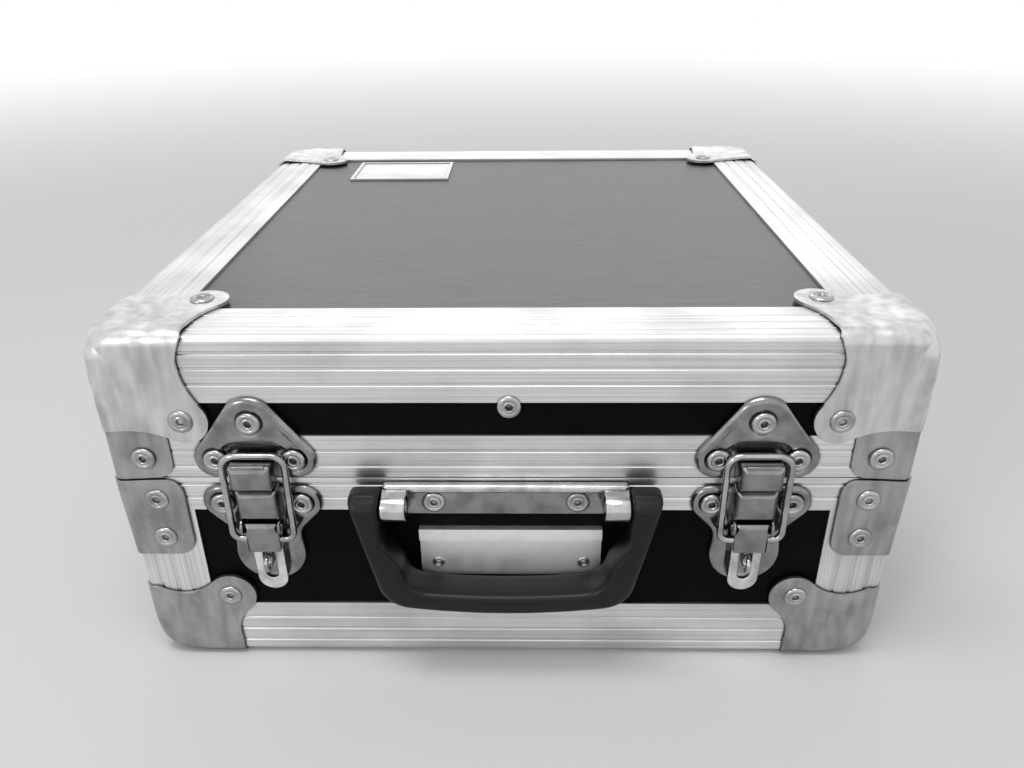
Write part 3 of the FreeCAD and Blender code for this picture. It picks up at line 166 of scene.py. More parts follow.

# plated metal: smooth and half bright, slightly cloudy, with hair scratches and painted shade near other
# surfaces; one tint and gloss per use
platedLook = {"patterns": {"cloud": ((9.0,) * 3, 4.0, 0.5), "hair": ((9.0, 0.5, 0.5), 3.0, 0.5)}, "gaps": 2.0,
              "tone": ("cloud", 1.0, (0.32, "#cccccc"), (0.6, "#ffffff")), "bumps": (("hair", 0.010),),
              "layers": (("gaps", 1.0, (0.25, "#101010"), (0.72, "#ffffff")),), "shader": {"Metallic": 1.0}}
# painted light: the lever's tongue gets a far paler plated tint than its box, as a lit copy
platedUses = {"nickelPlate": ("#989897", 0.26, 0.14), "brightNickelWire": ("#bdbdbc", 0.20, 0.10),
              "brightRolledSteel": ("#cfcfce", 0.24, 0.14), "tongueSteelPaintedLight": ("#efefee", 0.36, 0.26),
              "satinPlatedSteel": ("#c6c6c5", 0.36, 0.24), "rivetAluminium": ("#bcbcbc", 0.32, 0.18)}
nickel, brightWire, brightRoll, paintedLitTongueSteel, satinSteel, rivetMetal = [
    finish(name, platedLook, tint=tint, gloss=("cloud", (0.35, dull), (0.7, bright)))
    for name, (tint, dull, bright) in platedUses.items()]
# painted light: the card holder gets a near white, paler copy of the plated metal, to make up for the
# handle's shade on it
paintedLitCardSteel = finish("holderSteelPaintedLight", platedLook, tone=("cloud", 1.0, (0.32, "#f4f4f4"), (0.6, "#ffffff")),
                   tint="#fcfcfc", gloss=("cloud", (0.35, 0.54), (0.7, 0.42)))

# moulded black plastic: soft half gloss over a fine grain
plastic = finish("mouldedBlackPlastic", {
    "patterns": {"grain": ((0.6,) * 3, 2.0, 0.5), "worn": ((20.0,) * 3, 3.0, 0.5)},
    "tone": ("worn", 1.0, (0.35, "#050506"), (0.75, "#09090a")), "gloss": ("worn", (0, 0.34), (1, 0.46)),
    "bumps": (("grain", 0.015),), "shader": {"Specular IOR Level": 0.34}})

# open-cell foam: charcoal and quite matt, with cells drawn coarse enough to show
foam = finish("charcoalFoam", {
    "patterns": {"cells": ((1.1,) * 3, 3.0, 0.7)}, "tone": ("cells", 1.0, (0.3, "#1c1c1e"), (0.7, "#38383b")),
    "gloss": ("cells", (0, 0.95), (1, 0.95)), "bumps": (("cells", 0.5),), "shader": {}})
print("materials made")

# the case's measures in mm: its outer faces are read from the frame's boxes, which its angles reach but for
# a gap
case = {"gap": 0.1, "tongue": 2.6, "row": -1.9, "plate": 1.6, "ridge": 3.0, "inside": (0, 6, 85)}
lowest, highest = (np.array(corner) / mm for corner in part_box("bottom_angle_front"))
case.update(left=lowest[0] - case["gap"], right=highest[0] + case["gap"], front=lowest[1], foot=lowest[2],
            back=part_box("bottom_angle_back")[1][1] / mm, top=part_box("top_angle_front")[1][2] / mm,
            seam=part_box("base_rim_front")[1][2] / mm - case["tongue"])
latchPlaces = {side: sum(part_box("latch_plate_" + side)[end][0] for end in (0, 1)) / 2 / mm
               for side in ("left", "right")}
sides = {"front": 0, "right": 1, "back": 2, "left": 3}
making = {"weld": 0.004, "softFrom": 30, "roundSteps": 5}


def addObject(name, data):
    # a new object in the scene
    piece = bpy.data.objects.new(name, data)
    bpy.context.scene.collection.objects.link(piece)
    return piece


def lengths(steps):
    # the length of each step, kept as a column
    return np.linalg.norm(steps, axis=-1, keepdims=True)


# surfaces of the new pieces: every sheet is a grid of points in mm, rows by columns
def addPiece(name, sheets, look, body, stands=(), sharp=60.0, thick=0.0, edge=0.0):
    # one mesh from the sheets, which all swell outwards; a sheet whose quads, taken as half the cross
    # product of their diagonals, look towards the middle of its own box has its columns reversed. A
    # thickness grows behind the sheets and the edges are rounded.
    points, faces, start = [], [], 0
    for sheet in sheets:
        area = np.cross(sheet[1:, 1:] - sheet[:-1, :-1], sheet[1:, :-1] - sheet[:-1, 1:])
        if np.sum(area * (sheet[:-1, :-1] - (sheet.min((0, 1)) + sheet.max((0, 1))) / 2)) < 0:
            sheet = sheet[:, ::-1]
        rows, columns = sheet.shape[:2]
        corner = start + np.arange(rows - 1)[:, None] * columns + np.arange(columns - 1)[None, :]
        quads = np.stack([corner, corner + 1, corner + columns + 1, corner + columns], -1)
        faces.append(quads.reshape(-1, 4))
        points.append(sheet.reshape(-1, 3))
        start += rows * columns
    mesh = bpy.data.meshes.new(name)
    mesh.from_pydata((np.concatenate(points) * mm).tolist(), [], np.concatenate(faces).tolist())
    joined = bmesh.new()
    joined.from_mesh(mesh)
    bmesh.ops.remove_doubles(joined, verts=joined.verts, dist=making["weld"] * mm)
    joined.to_mesh(mesh)
    joined.free()
    mesh.shade_smooth()
    mesh.set_sharp_from_angle(angle=math.radians(sharp))
    mesh.materials.append(look)
    piece = addObject(name, mesh)
    if thick:
        solid = piece.modifiers.new("thickness", "SOLIDIFY")
        solid.thickness, solid.offset = thick * mm, -1.0
    if edge:
        soften(piece, edge, 2)
    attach(piece, body)
    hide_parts(*stands)
    return piece


def soften(piece, width, segments=3):
    # rounds every edge that turns by more than the angle in making
    bevel = piece.modifiers.new("softEdges", "BEVEL")
    bevel.width, bevel.segments, bevel.limit_method = width * mm, segments, "ANGLE"
    bevel.angle_limit, bevel.harden_normals = math.radians(making["softFrom"]), True


def arc(middle, radius, first, last, count):
    # points on a circle between two angles in degrees
    turn = np.radians(np.linspace(first, last, count))
    return np.array(middle, float) + radius * np.stack([np.cos(turn), np.sin(turn)], 1)


def evenly(line, step):
    # the same line with its points a step apart, by interpolation over the length run so far
    along = np.concatenate([[0], np.cumsum(lengths(np.diff(line, axis=0)))])
    wanted = np.linspace(0, along[-1], max(2, int(along[-1] / step)) + 1)
    return np.stack([np.interp(wanted, along, line[:, axis]) for axis in range(line.shape[1])], 1)


def eased(value):
    # smooth step from 0 to 1: three squares less two cubes
    value = np.clip(value, 0, 1)
    return value * value * (3 - 2 * value)


def roundedBox(low, high, radius, steps=making["roundSteps"]):
    # six grids on a box; each point is pulled back to the inner box and pushed out again by the radius,
    # along the line from its nearest inner point. The grid lines crowd towards the edges as the cosine of
    # an even angle.
    low, high = np.array(low, float), np.array(high, float)
    curve = radius * (1 - np.cos(np.linspace(0, math.pi / 2, steps)))
    lines = [np.concatenate([low[a] + curve, high[a] - curve[::-1]]) for a in range(3)]
    sheets = []
    for axis in range(3):
        one, two = [a for a in range(3) if a != axis]
        for level in (low[axis], high[axis]):
            grid = np.empty((2 * steps, 2 * steps, 3))
            grid[..., one], grid[..., two], grid[..., axis] = lines[one][:, None], lines[two][None, :], level
            core = np.clip(grid, low + radius, high - radius)
            away = grid - core
            sheets.append(core + away * radius / lengths(away))
    return sheets


def tube(path, wire, around=16):
    # a round section carried along a line in a plane: at each point the section spans the line's own normal
    # and the plane's normal
    step = np.gradient(path, axis=0)
    step /= lengths(step)
    flat = np.cross(path[len(path) // 3] - path[0], path[2 * len(path) // 3] - path[0])
    flat /= np.linalg.norm(flat)
    across = np.cross(step, flat)
    turn = np.linspace(0, 2 * math.pi, around + 1)
    return path[:, None, :] + wire * (across[:, None, :] * np.cos(turn)[None, :, None]
                                      + flat * np.sin(turn)[None, :, None])


def lathed(profile, around=40):
    # a profile of radius and height turned round the Z axis
    profile = np.array(profile, float)
    turn = np.linspace(0, 2 * math.pi, around + 1)
    return np.stack([profile[:, :1] * np.cos(turn), profile[:, :1] * np.sin(turn),
                     np.repeat(profile[:, 1:], around + 1, 1)], -1)


def onFront(across, up, out):
    # a place on the front of the case, up from the seam and out from the angles' face
    return np.stack(np.broadcast_arrays(across, case["front"] - out, case["seam"] + up), -1)


def inCorners(x, y, z):
    # the same sheet in each of the four corners, with x and y counted inwards from the case's sides
    return [np.stack(np.broadcast_arrays(case["right"] - x if right else case["left"] + x,
                                         case["back"] - y if back else case["front"] + y, z), -1)
            for right in (0, 1) for back in (0, 1)]


def stoodOnFront(place, sheets):
    # sheets whose axes are across, out and up, set on the front at a place across
    return [onFront(place + sheet[..., 0], sheet[..., 2], sheet[..., 1]) for sheet in sheets]


# aluminium angles and rims: a section carried straight along its side, with shallow channels along each
# leg. A channel is its half width, its depth and its floor's share of the width.
extrusion = {"leg": 30.0, "wall": 1.5, "channels": (7.2, 14.4, 21.6), "channel": (0.95, 0.38, 0.6),
             "stop": 25.0, "board": 7.0, "sharp": 25.0, "base": 17.0, "lid": 21.0}


def channelled(start, end, channels):
    # one outer face from start to end: flat but for a shallow channel at each place, as (along, depth)
    half, deep, floor = extrusion["channel"]
    sign = 1 if end > start else -1
    line = [(start, 0.0)]
    for middle in sorted(channels, reverse=end < start):
        line += [(middle + sign * half * share, level)
                 for share, level in ((-1, 0.0), (-floor, deep), (floor, deep), (1, 0.0))]
    return line + [(end, 0.0)]


def angleSection():
    # an L of (across, along) with a quarter circle for its ridge
    leg, wall, ridge = extrusion["leg"], extrusion["wall"], case["ridge"]
    flat = channelled(leg, ridge, extrusion["channels"])
    stand = [(depth, along) for along, depth in channelled(ridge, leg, extrusion["channels"])]
    corner = [tuple(point) for point in arc((ridge, ridge), ridge, 270, 180, 9)[1:-1]]
    return np.array(flat + corner + stand + [(wall, leg), (wall, wall), (leg, wall), (leg, 0.0)])


def carriedAlong(section, side, z, up, short):
    # the section along one side; short gives, for each depth, how far an end stops before the side's own
    # end
    spans = case["right"] - case["left"], case["back"] - case["front"]
    quarter = sides[side]
    length, other = spans[quarter % 2], spans[1 - quarter % 2]
    turn, middle = quarter * math.pi / 2, (case["front"] + case["back"]) / 2
    depth, tall = section[:, 0], section[:, 1]
    half = length / 2 - short(depth)
    ends = np.stack([-half, half], 1)
    inward = np.repeat(depth[:, None] - other / 2, 2, 1)
    x = ends * math.cos(turn) - inward * math.sin(turn)
    y = ends * math.sin(turn) + inward * math.cos(turn)
    return np.stack([x, y + middle, np.repeat(z + up * tall[:, None], 2, 1)], -1)


def addAngles():
    section = angleSection()
    for level, z, up, body in (("bottom", case["foot"], 1, "base"), ("top", case["top"], -1, "lid")):
        for side in sides:
            name = "%s_angle_%s" % (level, side)
            sheet = carriedAlong(section, side, z, up, lambda depth: extrusion["stop"] + 0 * depth)
            addPiece(name + "_drawn", [sheet], aluminium[sides[side] % 2], body, [name],
                     extrusion["sharp"])


# rims: heights go away from the seam; a joint is half the tongue or its groove, as (half width, height)
rims = {"base": {"web": 2.0, "up": -1, "lift": 0.0, "channels": (3.6, 10.4),
                 "joint": ((1.5, 0), (1.2, -2.2), (0.8, -2.6))},
        "lid": {"web": 4.6, "up": 1, "lift": 0.1, "channels": (6.0, 13.4), "joint": ((2.1, 0), (2.1, 3.2))}}
rimEdge = {"lip": 12.0, "lipWall": 1.6, "lipFoot": 0.2, "face": 0.6, "nose": 0.15, "blunt": 1.7}


def addRims():
    # a rim's section with the seam at zero: outer leg with channels, web with the tongue or its groove,
    # inner lip. Its ends are mitred, and blunt at the outer leg.
    wall, inner = extrusion["wall"], extrusion["wall"] + extrusion["board"]
    middle, lip = wall + extrusion["board"] / 2, inner + rimEdge["lipWall"]
    nose = [(rimEdge["nose"], rimEdge["nose"])]
    for level, kind in rims.items():
        leg, z = extrusion[level], case["seam"] + kind["lift"]
        face = [(depth, along) for along, depth in channelled(rimEdge["face"], leg, kind["channels"])]
        joint = [(middle + wide, high) for wide, high in kind["joint"]]
        joint += [(middle - wide, high) for wide, high in kind["joint"][::-1]]
        legs = [(wall, leg), (wall, kind["web"]), (inner, kind["web"]), (inner, rimEdge["lip"]),
                (lip, rimEdge["lip"]), (lip, rimEdge["lipFoot"])]
        section = np.array(nose + face + legs + joint + [(rimEdge["face"], 0.0)] + nose, float)
        for side in sides:
            name = "%s_rim_%s" % (level, side)
            sheet = carriedAlong(section, side, z, kind["up"],
                                 lambda depth: depth + case["gap"] + np.maximum(0, rimEdge["blunt"] - depth))
            addPiece(name + "_drawn", [sheet], aluminium[sides[side] % 2], level, [name],
                     extrusion["sharp"])


def addUprights():
    # the same angle standing in the four corners, between the edge angle and the rim
    section = angleSection()
    leg, seam = extrusion["leg"], case["seam"]
    for level, low, high in (("base", case["foot"] + leg, seam - extrusion["base"]),
                             ("lid", seam + extrusion["lid"] + case["gap"], case["top"] - leg)):
        sheets = inCorners(section[:, :1], section[:, 1:], np.array([[low, high]]))
        addPiece(level + "_uprights_drawn", sheets, aluminium[2], level, [level + "_upright_angles"],
                 extrusion["sharp"])


addAngles()
addRims()
addUprights()
print("extrusions made")

# stamped steel corners. Places on a face count from its sharp corner: a lobe's centre for the wall and the
# flat, the neck and skirt where its border is narrowest, as (step in from the lobe's side, along), the
# ball's centre, radius and bulge, and how far a border may reach along a ridge
cornerKinds = {
    "bottom": {"ball": (24.0, 33.3, 0.0), "wall": (39.8, 36.0), "flat": (39.0, 39.0), "lobe": 11.2,
               "neck": (0.4, 13.5), "skirt": (0.9, 16.7), "reach": 40.5},
    "top": {"ball": (18.0, 26.0, 1.35), "wall": (34.0, 38.1), "flat": (37.0, 37.0), "lobe": 10.6,
            "neck": (2.0, 11.5), "skirt": (4.1, 8.0), "reach": 44.0}}
shellLook = {"soft": 6.0, "swell": 1.035, "edge": 0.45, "thick": 1.5, "steps": 26, "blend": 12,
             "arcs": (24, 22), "crown": 45, "spread": 13.0, "ripple": 0.22, "rippleStep": 2.3,
             "rippleAt": 24, "rippleWide": 9, "rise": 10, "within": 0.999}


def neckRadius(centre, waist, lobe):
    # the neck circle touches the lobe's circle and the waist: (step squared + rise squared - lobe squared)
    # over 2 (lobe - step)
    rise = waist[1] - centre[1]
    return (waist[0] ** 2 + rise ** 2 - lobe ** 2) / (2 * (lobe - waist[0]))


def lobeBorder(centre, radius, waist, reach, start):
    # one border of a lobe, from a ridge to the crown of the lobe's circle: the neck's arc, which starts no
    # further along the ridge than the reach, and the lobe's arc. Near the ridge it is moved to begin at
    # start.
    (across, lobeAlong), (step, along) = centre, waist
    neck = neckRadius(centre, waist, radius)
    middle = np.array([across + step + neck, along])
    touch = np.array([across, lobeAlong]) + (middle - [across, lobeAlong]) * radius / (radius + neck)
    side = middle[0] - reach
    flare = math.sqrt(neck * neck - side * side) if abs(side) < neck else neck
    low = math.sqrt(neck * neck - along * along) if flare >= along else side
    first = math.degrees(math.atan2(-min(flare, along), -low)) % 360
    last = math.degrees(math.atan2(touch[1] - along, touch[0] - middle[0])) % 360
    neckArc = arc(middle, neck, first, last, shellLook["arcs"][0])
    if flare < along:
        neckArc = np.concatenate([[(reach, 0.0)], neckArc])
    bottom = math.degrees(math.atan2(touch[1] - lobeAlong, touch[0] - across))
    lobeArc = arc((across, lobeAlong), radius, bottom, shellLook["crown"], shellLook["arcs"][1])
    line = np.concatenate([neckArc, lobeArc[1:]])
    line[:, 0] += (start - line[0, 0]) * eased(1 - line[:, 1] / shellLook["blend"])
    return line


def shellFace(first, second):
    # a face's outline as a grid: rows join points of equal share of the two borders, which start at the
    # corner
    steps = shellLook["steps"]
    borders = []
    for line in (first, second):
        ridge = np.linspace([0, 0], line[0], steps)
        length = np.sum(lengths(np.diff(line, axis=0)))
        outer = evenly(line, length / (2 * steps) * shellLook["within"])
        borders.append(np.concatenate([ridge[:-1], outer[:2 * steps + 1]]))
    share = np.linspace(0, 1, 2 * steps)[None, :, None]
    return borders[0][:, None, :] * (1 - share) + borders[1][:, None, :] * share


def roundedCorner(sharp, ball, out):
    # a point on the sharp corner of a block goes to the block with rounded ridges: from its nearest point
    # at least one ridge radius inside, it is pushed out by that radius, the plate and a bulge that fades
    # away from the ridges and ripples where the press drew the steel in. Then its distance from the ball's
    # centre, counted only along the axes where it is beyond it, is held to the ball by a smooth minimum.
    look, ridge = shellLook, case["ridge"]
    near = np.sort(sharp, axis=-1)
    run = near[..., 2:]
    bulge = ball[2] * np.exp(-(near[..., 0] ** 2 + near[..., 1] ** 2) / look["spread"] ** 2)[..., None]
    waves = np.sin(run / look["rippleStep"]) * np.exp(-((run - look["rippleAt"]) / look["rippleWide"]) ** 2)
    out = out + bulge * (1 + look["ripple"] * waves) * eased(run / look["rise"])
    core = np.maximum(sharp, ridge)
    away = sharp - core
    place = core + away * (ridge + out) / lengths(away)
    beyond = np.maximum(ball[0] - place, 0)
    far = lengths(beyond)
    limit, soft = ball[1] * look["swell"] + out, look["soft"]
    blend = np.clip(0.5 + 0.5 * (limit - far) / soft, 0, 1)
    held = limit * (1 - blend) + far * blend - soft * blend * (1 - blend)
    return place + beyond * (1 - held / far)


def addCorners():
    for kind, sizes in cornerKinds.items():
        wall, flat, lobe, reach = sizes["wall"], sizes["flat"], sizes["lobe"], sizes["reach"]
        starts = []
        for centre, waist in ((wall, sizes["neck"]), (flat, sizes["neck"]), (wall[::-1], sizes["skirt"])):
            neck = neckRadius(centre, waist, lobe)
            starts.append(min(reach, centre[0] + waist[0] + neck - math.sqrt(neck ** 2 - waist[1] ** 2)))
        level = (starts[0] + starts[1]) / 2
        neckLine = lobeBorder(wall, lobe, sizes["neck"], reach, level)
        skirtLine = lobeBorder(wall[::-1], lobe, sizes["skirt"], reach, starts[2])[:, ::-1]
        flatLine = lobeBorder(flat, lobe, sizes["neck"], reach, level)
        face, under = shellFace(neckLine, skirtLine), shellFace(flatLine, flatLine[:, ::-1])
        zero = np.zeros(face.shape[:2])
        blanks = [np.stack([face[..., 0], zero, face[..., 1]], -1),
                  np.stack([zero, face[..., 0], face[..., 1]], -1),
                  np.stack([under[..., 0], under[..., 1], zero], -1)]
        shell = [roundedCorner(blank, sizes["ball"], case["plate"]) for blank in blanks]
        onLid = kind == "top"
        for back in (0, 1):
            for right in (0, 1):
                sign = np.array([-1 if right else 1, -1 if back else 1, -1 if onLid else 1])
                place = np.array([case["right" if right else "left"], case["back" if back else "front"],
                                  case["top" if onLid else "foot"]])
                name = "%s_corner_%s_%s" % (kind, "back" if back else "front", "right" if right else "left")
                addPiece(name + "_stamped", [place + sheet * sign for sheet in shell],
                         paintedLitCornerSteel if onLid else steel, "lid" if onLid else "base", [name],
                         thick=shellLook["thick"], edge=shellLook["edge"])


# folded braces: low and high count from the seam, and the bulge at the fold goes from the low end to the
# high end
braces = {"base": {"width": 27.4, "low": -40.8, "high": -0.3, "out": 1.6, "thick": 1.5, "bulge": (0.0, 1.2)},
          "lid": {"width": 25.4, "low": 0.3, "high": 34.0, "out": 0.8, "thick": 0.7, "bulge": (1.2, 1.2)}}
braceLook = {"corner": 8.0, "spread": 11.0, "edge": 0.4, "steps": (12, 6, 13, 16)}


def addBraces():
    # each brace is a flat sheet bent round the upright ridge: its distance from the fold is run along the
    # quarter circle first and then straight, and its free corners are rounded by shortening the columns
    # near the ends. The lid's brace goes on under the top corner, so only its lower corners are rounded.
    corner, (roundSteps, flatSteps, foldSteps, rows) = braceLook["corner"], braceLook["steps"]
    for level, kind in braces.items():
        bend = case["ridge"] + kind["out"]
        quarter = bend * math.pi / 4
        half = quarter + kind["width"] - case["ridge"]
        ends = half - corner + corner * np.sin(np.linspace(0, math.pi / 2, roundSteps))
        fold = np.linspace(-quarter, quarter, foldSteps)
        run = np.concatenate([-ends[::-1], np.linspace(corner - half, -quarter, flatSteps)[1:-1], fold,
                              np.linspace(quarter, half - corner, flatSteps)[1:-1], ends])
        cut = corner - np.sqrt(np.maximum(0, corner ** 2 - np.maximum(0, np.abs(run) - half + corner) ** 2))
        turn = np.clip(run / bend, -math.pi / 4, math.pi / 4)
        past = np.sign(run) * np.maximum(0, np.abs(run) - quarter)
        share = np.linspace(0, 1, rows)[None, :]
        swell = kind["bulge"][0] * (1 - share) + kind["bulge"][1] * share
        swell = bend + swell * np.exp(-(np.abs(run) / braceLook["spread"]) ** 2)[:, None]
        x = case["ridge"] - swell * np.cos(turn + math.pi / 4)[:, None] + np.maximum(past, 0)[:, None]
        y = case["ridge"] - swell * np.cos(math.pi / 4 - turn)[:, None] + np.maximum(-past, 0)[:, None]
        high = case["seam"] + kind["high"] - (cut if level == "base" else 0 * cut)
        z = (case["seam"] + kind["low"] + cut)[:, None] * (1 - share) + high[:, None] * share
        addPiece(level + "_braces_folded", inCorners(x, y, z), steel, level, [level + "_braces"],
                 thick=kind["thick"], edge=braceLook["edge"])


addCorners()
addBraces()
print("corners and braces made")

# rivets: turned heads with a rolled ring round a small hollow, as (radius, height). A node's points within
# reach of one of them, and then within hold of their middle, are one head.
rivetHead = {"radius": 5.2, "within": (0.995, 0.99), "reach": 11.0, "hold": 5.9, "passes": 3,
             "profile": ((5.0, -1.3), (5.2, 0.0), (5.2, 0.25), (4.95, 0.75), (4.4, 1.12), (3.75, 1.28),
                         (3.2, 1.05), (2.85, 0.75), (2.6, 0.8), (2.25, 1.2), (1.9, 1.2), (1.6, 0.9),
                         (1.5, -0.6), (1.2, -1.2), (0.0, -1.2))}


def headsOf(node):
    # the rivets of a node as middle, axis, low, high and radius: a head's least extent gives the way it
    # faces
    mesh = nodes[node].data
    points = np.empty(len(mesh.vertices) * 3)
    mesh.vertices.foreach_get("co", points)
    points = points.reshape(-1, 3) / mm
    left = np.ones(len(points), bool)
    heads = []
    while left.any():
        near = left & (np.linalg.norm(points - points[np.argmax(left)], axis=1) < rivetHead["reach"])
        for again in range(rivetHead["passes"]):
            middle = (points[near].min(0) + points[near].max(0)) / 2
            near = left & (np.linalg.norm(points - middle, axis=1) < rivetHead["hold"])
        low, high = points[near].min(0), points[near].max(0)
        axis = int(np.argmin(high - low))
        heads.append(((low + high) / 2, axis, low[axis], high[axis], (high - low).max() / 2))
        left &= ~near
    return heads


def addRivets():
    for node, body in (("base_rivets", "base"), ("lid_rivets", "lid"), ("card_rivets", "base")):
        sheets = []
        for middle, axis, low, high, wide in headsOf(node):
            out = 1 if middle[axis] > case["inside"][axis] else -1
            head = lathed(np.array(rivetHead["profile"]) * wide / rivetHead["radius"] * rivetHead["within"])
            one, two = [a for a in range(3) if a != axis]
            sheet = np.empty_like(head)
            sheet[..., one], sheet[..., two] = head[..., 0] + middle[one], head[..., 1] + middle[two]
            sheet[..., axis] = (low if out > 0 else high) + out * head[..., 2]
            sheets.append(sheet)
        addPiece(node + "_turned", sheets, rivetMetal, body, [node])
        print(node, len(sheets), "heads")


addRivets()

# pressed keeper and latch plates. Places are across from the latch's middle and up from the seam; an
# outline's circles are (across, up, radius), and a block is its half width, low, high, back, front and
# bevel
plateBorder = ((0.0, 0.0), (0.05, 0.6), (0.35, 1.25), (0.85, 1.8), (1.5, 2.2), (2.2, 2.38), (3.0, 2.36),
               (3.8, 2.15), (4.6, 1.98), (5.4, 1.92))
plateLook = {"step": 0.8, "rows": 30, "easeFrom": 3, "ease": 5, "cup": 0.5, "cupEdge": 6.6, "cupSoft": 1.4}
keeper = {"circles": ((-16.8, 10.2, 9.6), (16.8, 10.2, 9.6), (0, 26.9, 13.0)), "spine": (10.5, 26.0),
          "rivets": ((0, 28.2), (16.8, 10.2), (-16.8, 10.2)), "hook": (8.9, 0.5, 12.35, 0.5, 13.0, 1.9),
          "lip": ((-7.0, 10.2, 10.5), (7.0, 12.0, 13.1), 0.6)}
arch = {"top": 18.4, "fall": 4.0, "half": 14.5, "end": 15.0, "fade": 2.5, "step": 1.6, "sink": 1.0,
        "swell": 0.45, "swellUp": 1.9, "swellWide": 1.5}
catch = {"circles": ((-0.8, -39.8, 15.2), (0.8, -39.8, 15.2), (24.3, -31.0, -9.0), (17.4, -12.3, 9.0),
                     (-17.4, -12.3, 9.0), (-24.3, -31.0, -9.0)),
         "rivets": ((17.4, -12.3), (-17.4, -12.3)), "spine": (-42.0, -12.0),
         "boss": (8.8, -16.6, -1.9, 0.5, 10.0, 1.9)}
blockLook = {"side": ((0, -0.35), (0.04, -0.15), (0.14, 0.02)), "round": 1.0, "shrink": 0.35, "least": 0.25,
             "face": ((-0.14, -0.24), (0.04, -0.07), (0.3, 0)), "steps": 7}
tailField = {"half": 9.5, "up": -34, "reach": 10, "soft": 2.4, "sink": 0.45}
ear = {"across": 8.2, "box": ((-0.6, 0, -24.3), (0.6, 7.4, -17.3), 0.5), "pin": (0, 7.0, -20.8),
       "disc": ((0, -0.6), (3.3, -0.6), (3.58, -0.35), (3.58, 0.35), (3.3, 0.6), (0, 0.6))}
staple = {"ring": 3.35, "thick": 1.02, "wide": 1.08, "up": -41.2, "out": 7.0,
          "foot": ((-1.05, 0, -45.2), (1.05, 4.4, -37.2), 0.8)}


def beltOutline(circles, step=plateLook["step"]):
    # the tight belt round circles given anticlockwise as x, y and radius, where a negative radius makes a
    # hollow. A straight leaves its circle where the normal leans along it by the difference of the radii
    # over their distance.
    circles = np.array(circles, float)
    following = np.roll(circles, -1, 0)
    way = following[:, :2] - circles[:, :2]
    length = np.linalg.norm(way, axis=1)
    way /= length[:, None]
    lean = (circles[:, 2] - following[:, 2]) / length
    normal = way * lean[:, None] + np.stack([way[:, 1], -way[:, 0]], 1) * np.sqrt(1 - lean ** 2)[:, None]
    last = np.degrees(np.arctan2(normal[:, 1], normal[:, 0]))
    turn = (last - np.roll(last, 1) + 180) % 360 - 180
    turn = np.where(circles[:, 2] > 0, np.abs(turn), turn)
    arcs = [arc(c[:2], c[2], end - t, end, 30) for c, end, t in zip(circles, last, turn)]
    return evenly(np.concatenate(arcs + [arcs[0][:1]]), step)


def raisedPlate(kind, relief, place):
    # rows go from the border inwards: first along its normals with the pressed border's heights, then
    # straight to the nearest point of the spine, a line from bottom to top in the plate's middle. Relief
    # adds to the height.
    border = beltOutline(kind["circles"])
    step = np.roll(border[:-1], -1, 0) - np.roll(border[:-1], 1, 0)
    step = np.concatenate([step, step[:1]])
    step /= lengths(step)
    inward = np.stack([-step[:, 1], step[:, 0]], 1)
    rows = [(border + inward * depth, height) for depth, height in plateBorder]
    inner, level = rows[-1]
    target = np.stack([0 * inner[:, 0], np.clip(inner[:, 1], *kind["spine"])], 1)
    rows += [(inner + (target - inner) * share, level) for share in np.linspace(0, 1, plateLook["rows"])[1:]]
    flat = np.stack([points for points, height in rows])
    height = np.array([height for points, height in rows])[:, None] + 0 * flat[..., 0]
    inside = eased((np.arange(len(rows)) - plateLook["easeFrom"])[:, None] / plateLook["ease"])
    height = np.maximum(height + relief(flat[..., 0], flat[..., 1]) * inside, 0)
    return onFront(place + flat[..., 0], flat[..., 1], height)


def cups(x, y, places):
    # a shallow dish round each rivet
    edge, soft = plateLook["cupEdge"], plateLook["cupSoft"]
    return -plateLook["cup"] * sum(eased((edge - np.hypot(x - a, y - b)) / soft) for a, b in places)


def keeperRelief(x, y):
    # cups, and a low arch over the bail's bar: the field under it is sunk and its upper side has a soft
    # swell
    bow = arch["top"] - arch["fall"] * (x / arch["half"]) ** 4
    window = eased((arch["end"] - np.abs(x)) / arch["fade"])
    sunk = -arch["sink"] * eased((bow - y) / arch["step"] + 0.5) * window
    swell = arch["swell"] * np.exp(-((y - bow - arch["swellUp"]) / arch["swellWide"]) ** 2) * window
    return cups(x, y, keeper["rivets"]) + sunk + swell


def catchRelief(x, y):
    # cups, and a long sunk field down the tail
    past = np.maximum(np.abs(y - tailField["up"]) - tailField["reach"], 0)
    field = eased((tailField["half"] - np.hypot(x, past)) / tailField["soft"])
    return cups(x, y, catch["rivets"]) - tailField["sink"] * field


def bevelledBlock(half, low, high, back, front, bevel, place):
    # a pressed box on the front: oblong rings whose sides rise straight, then lean in round the front face;
    # a ring is (inset, out), counted from the bevel's start or its end. Each is four quarter circles about
    # the corners of an oblong that shrinks by the inset, and the last is closed to a point.
    places = [(0, back)] + [(inset, front - bevel + out) for inset, out in blockLook["side"]]
    places += [(bevel + inset, front + out) for inset, out in blockLook["face"]]
    rings = []
    for inset, out in places:
        rounding = max(blockLook["least"], blockLook["round"] - blockLook["shrink"] * inset)
        wide, top, foot = half - inset - rounding, high - inset - rounding, low + inset + rounding
        corners = ((wide, top, 0), (-wide, top, 90), (-wide, foot, 180), (wide, foot, 270))
        line = np.concatenate([arc((x, y), rounding, turn, turn + 90, blockLook["steps"])
                               for x, y, turn in corners])
        line = np.concatenate([line, line[:1]])
        rings.append(onFront(place + line[:, 0], line[:, 1], out))
    line = np.repeat([[0.0, (low + high) / 2]], len(line), 0)
    rings.append(onFront(place + line[:, 0], line[:, 1], front))
    return np.stack(rings)


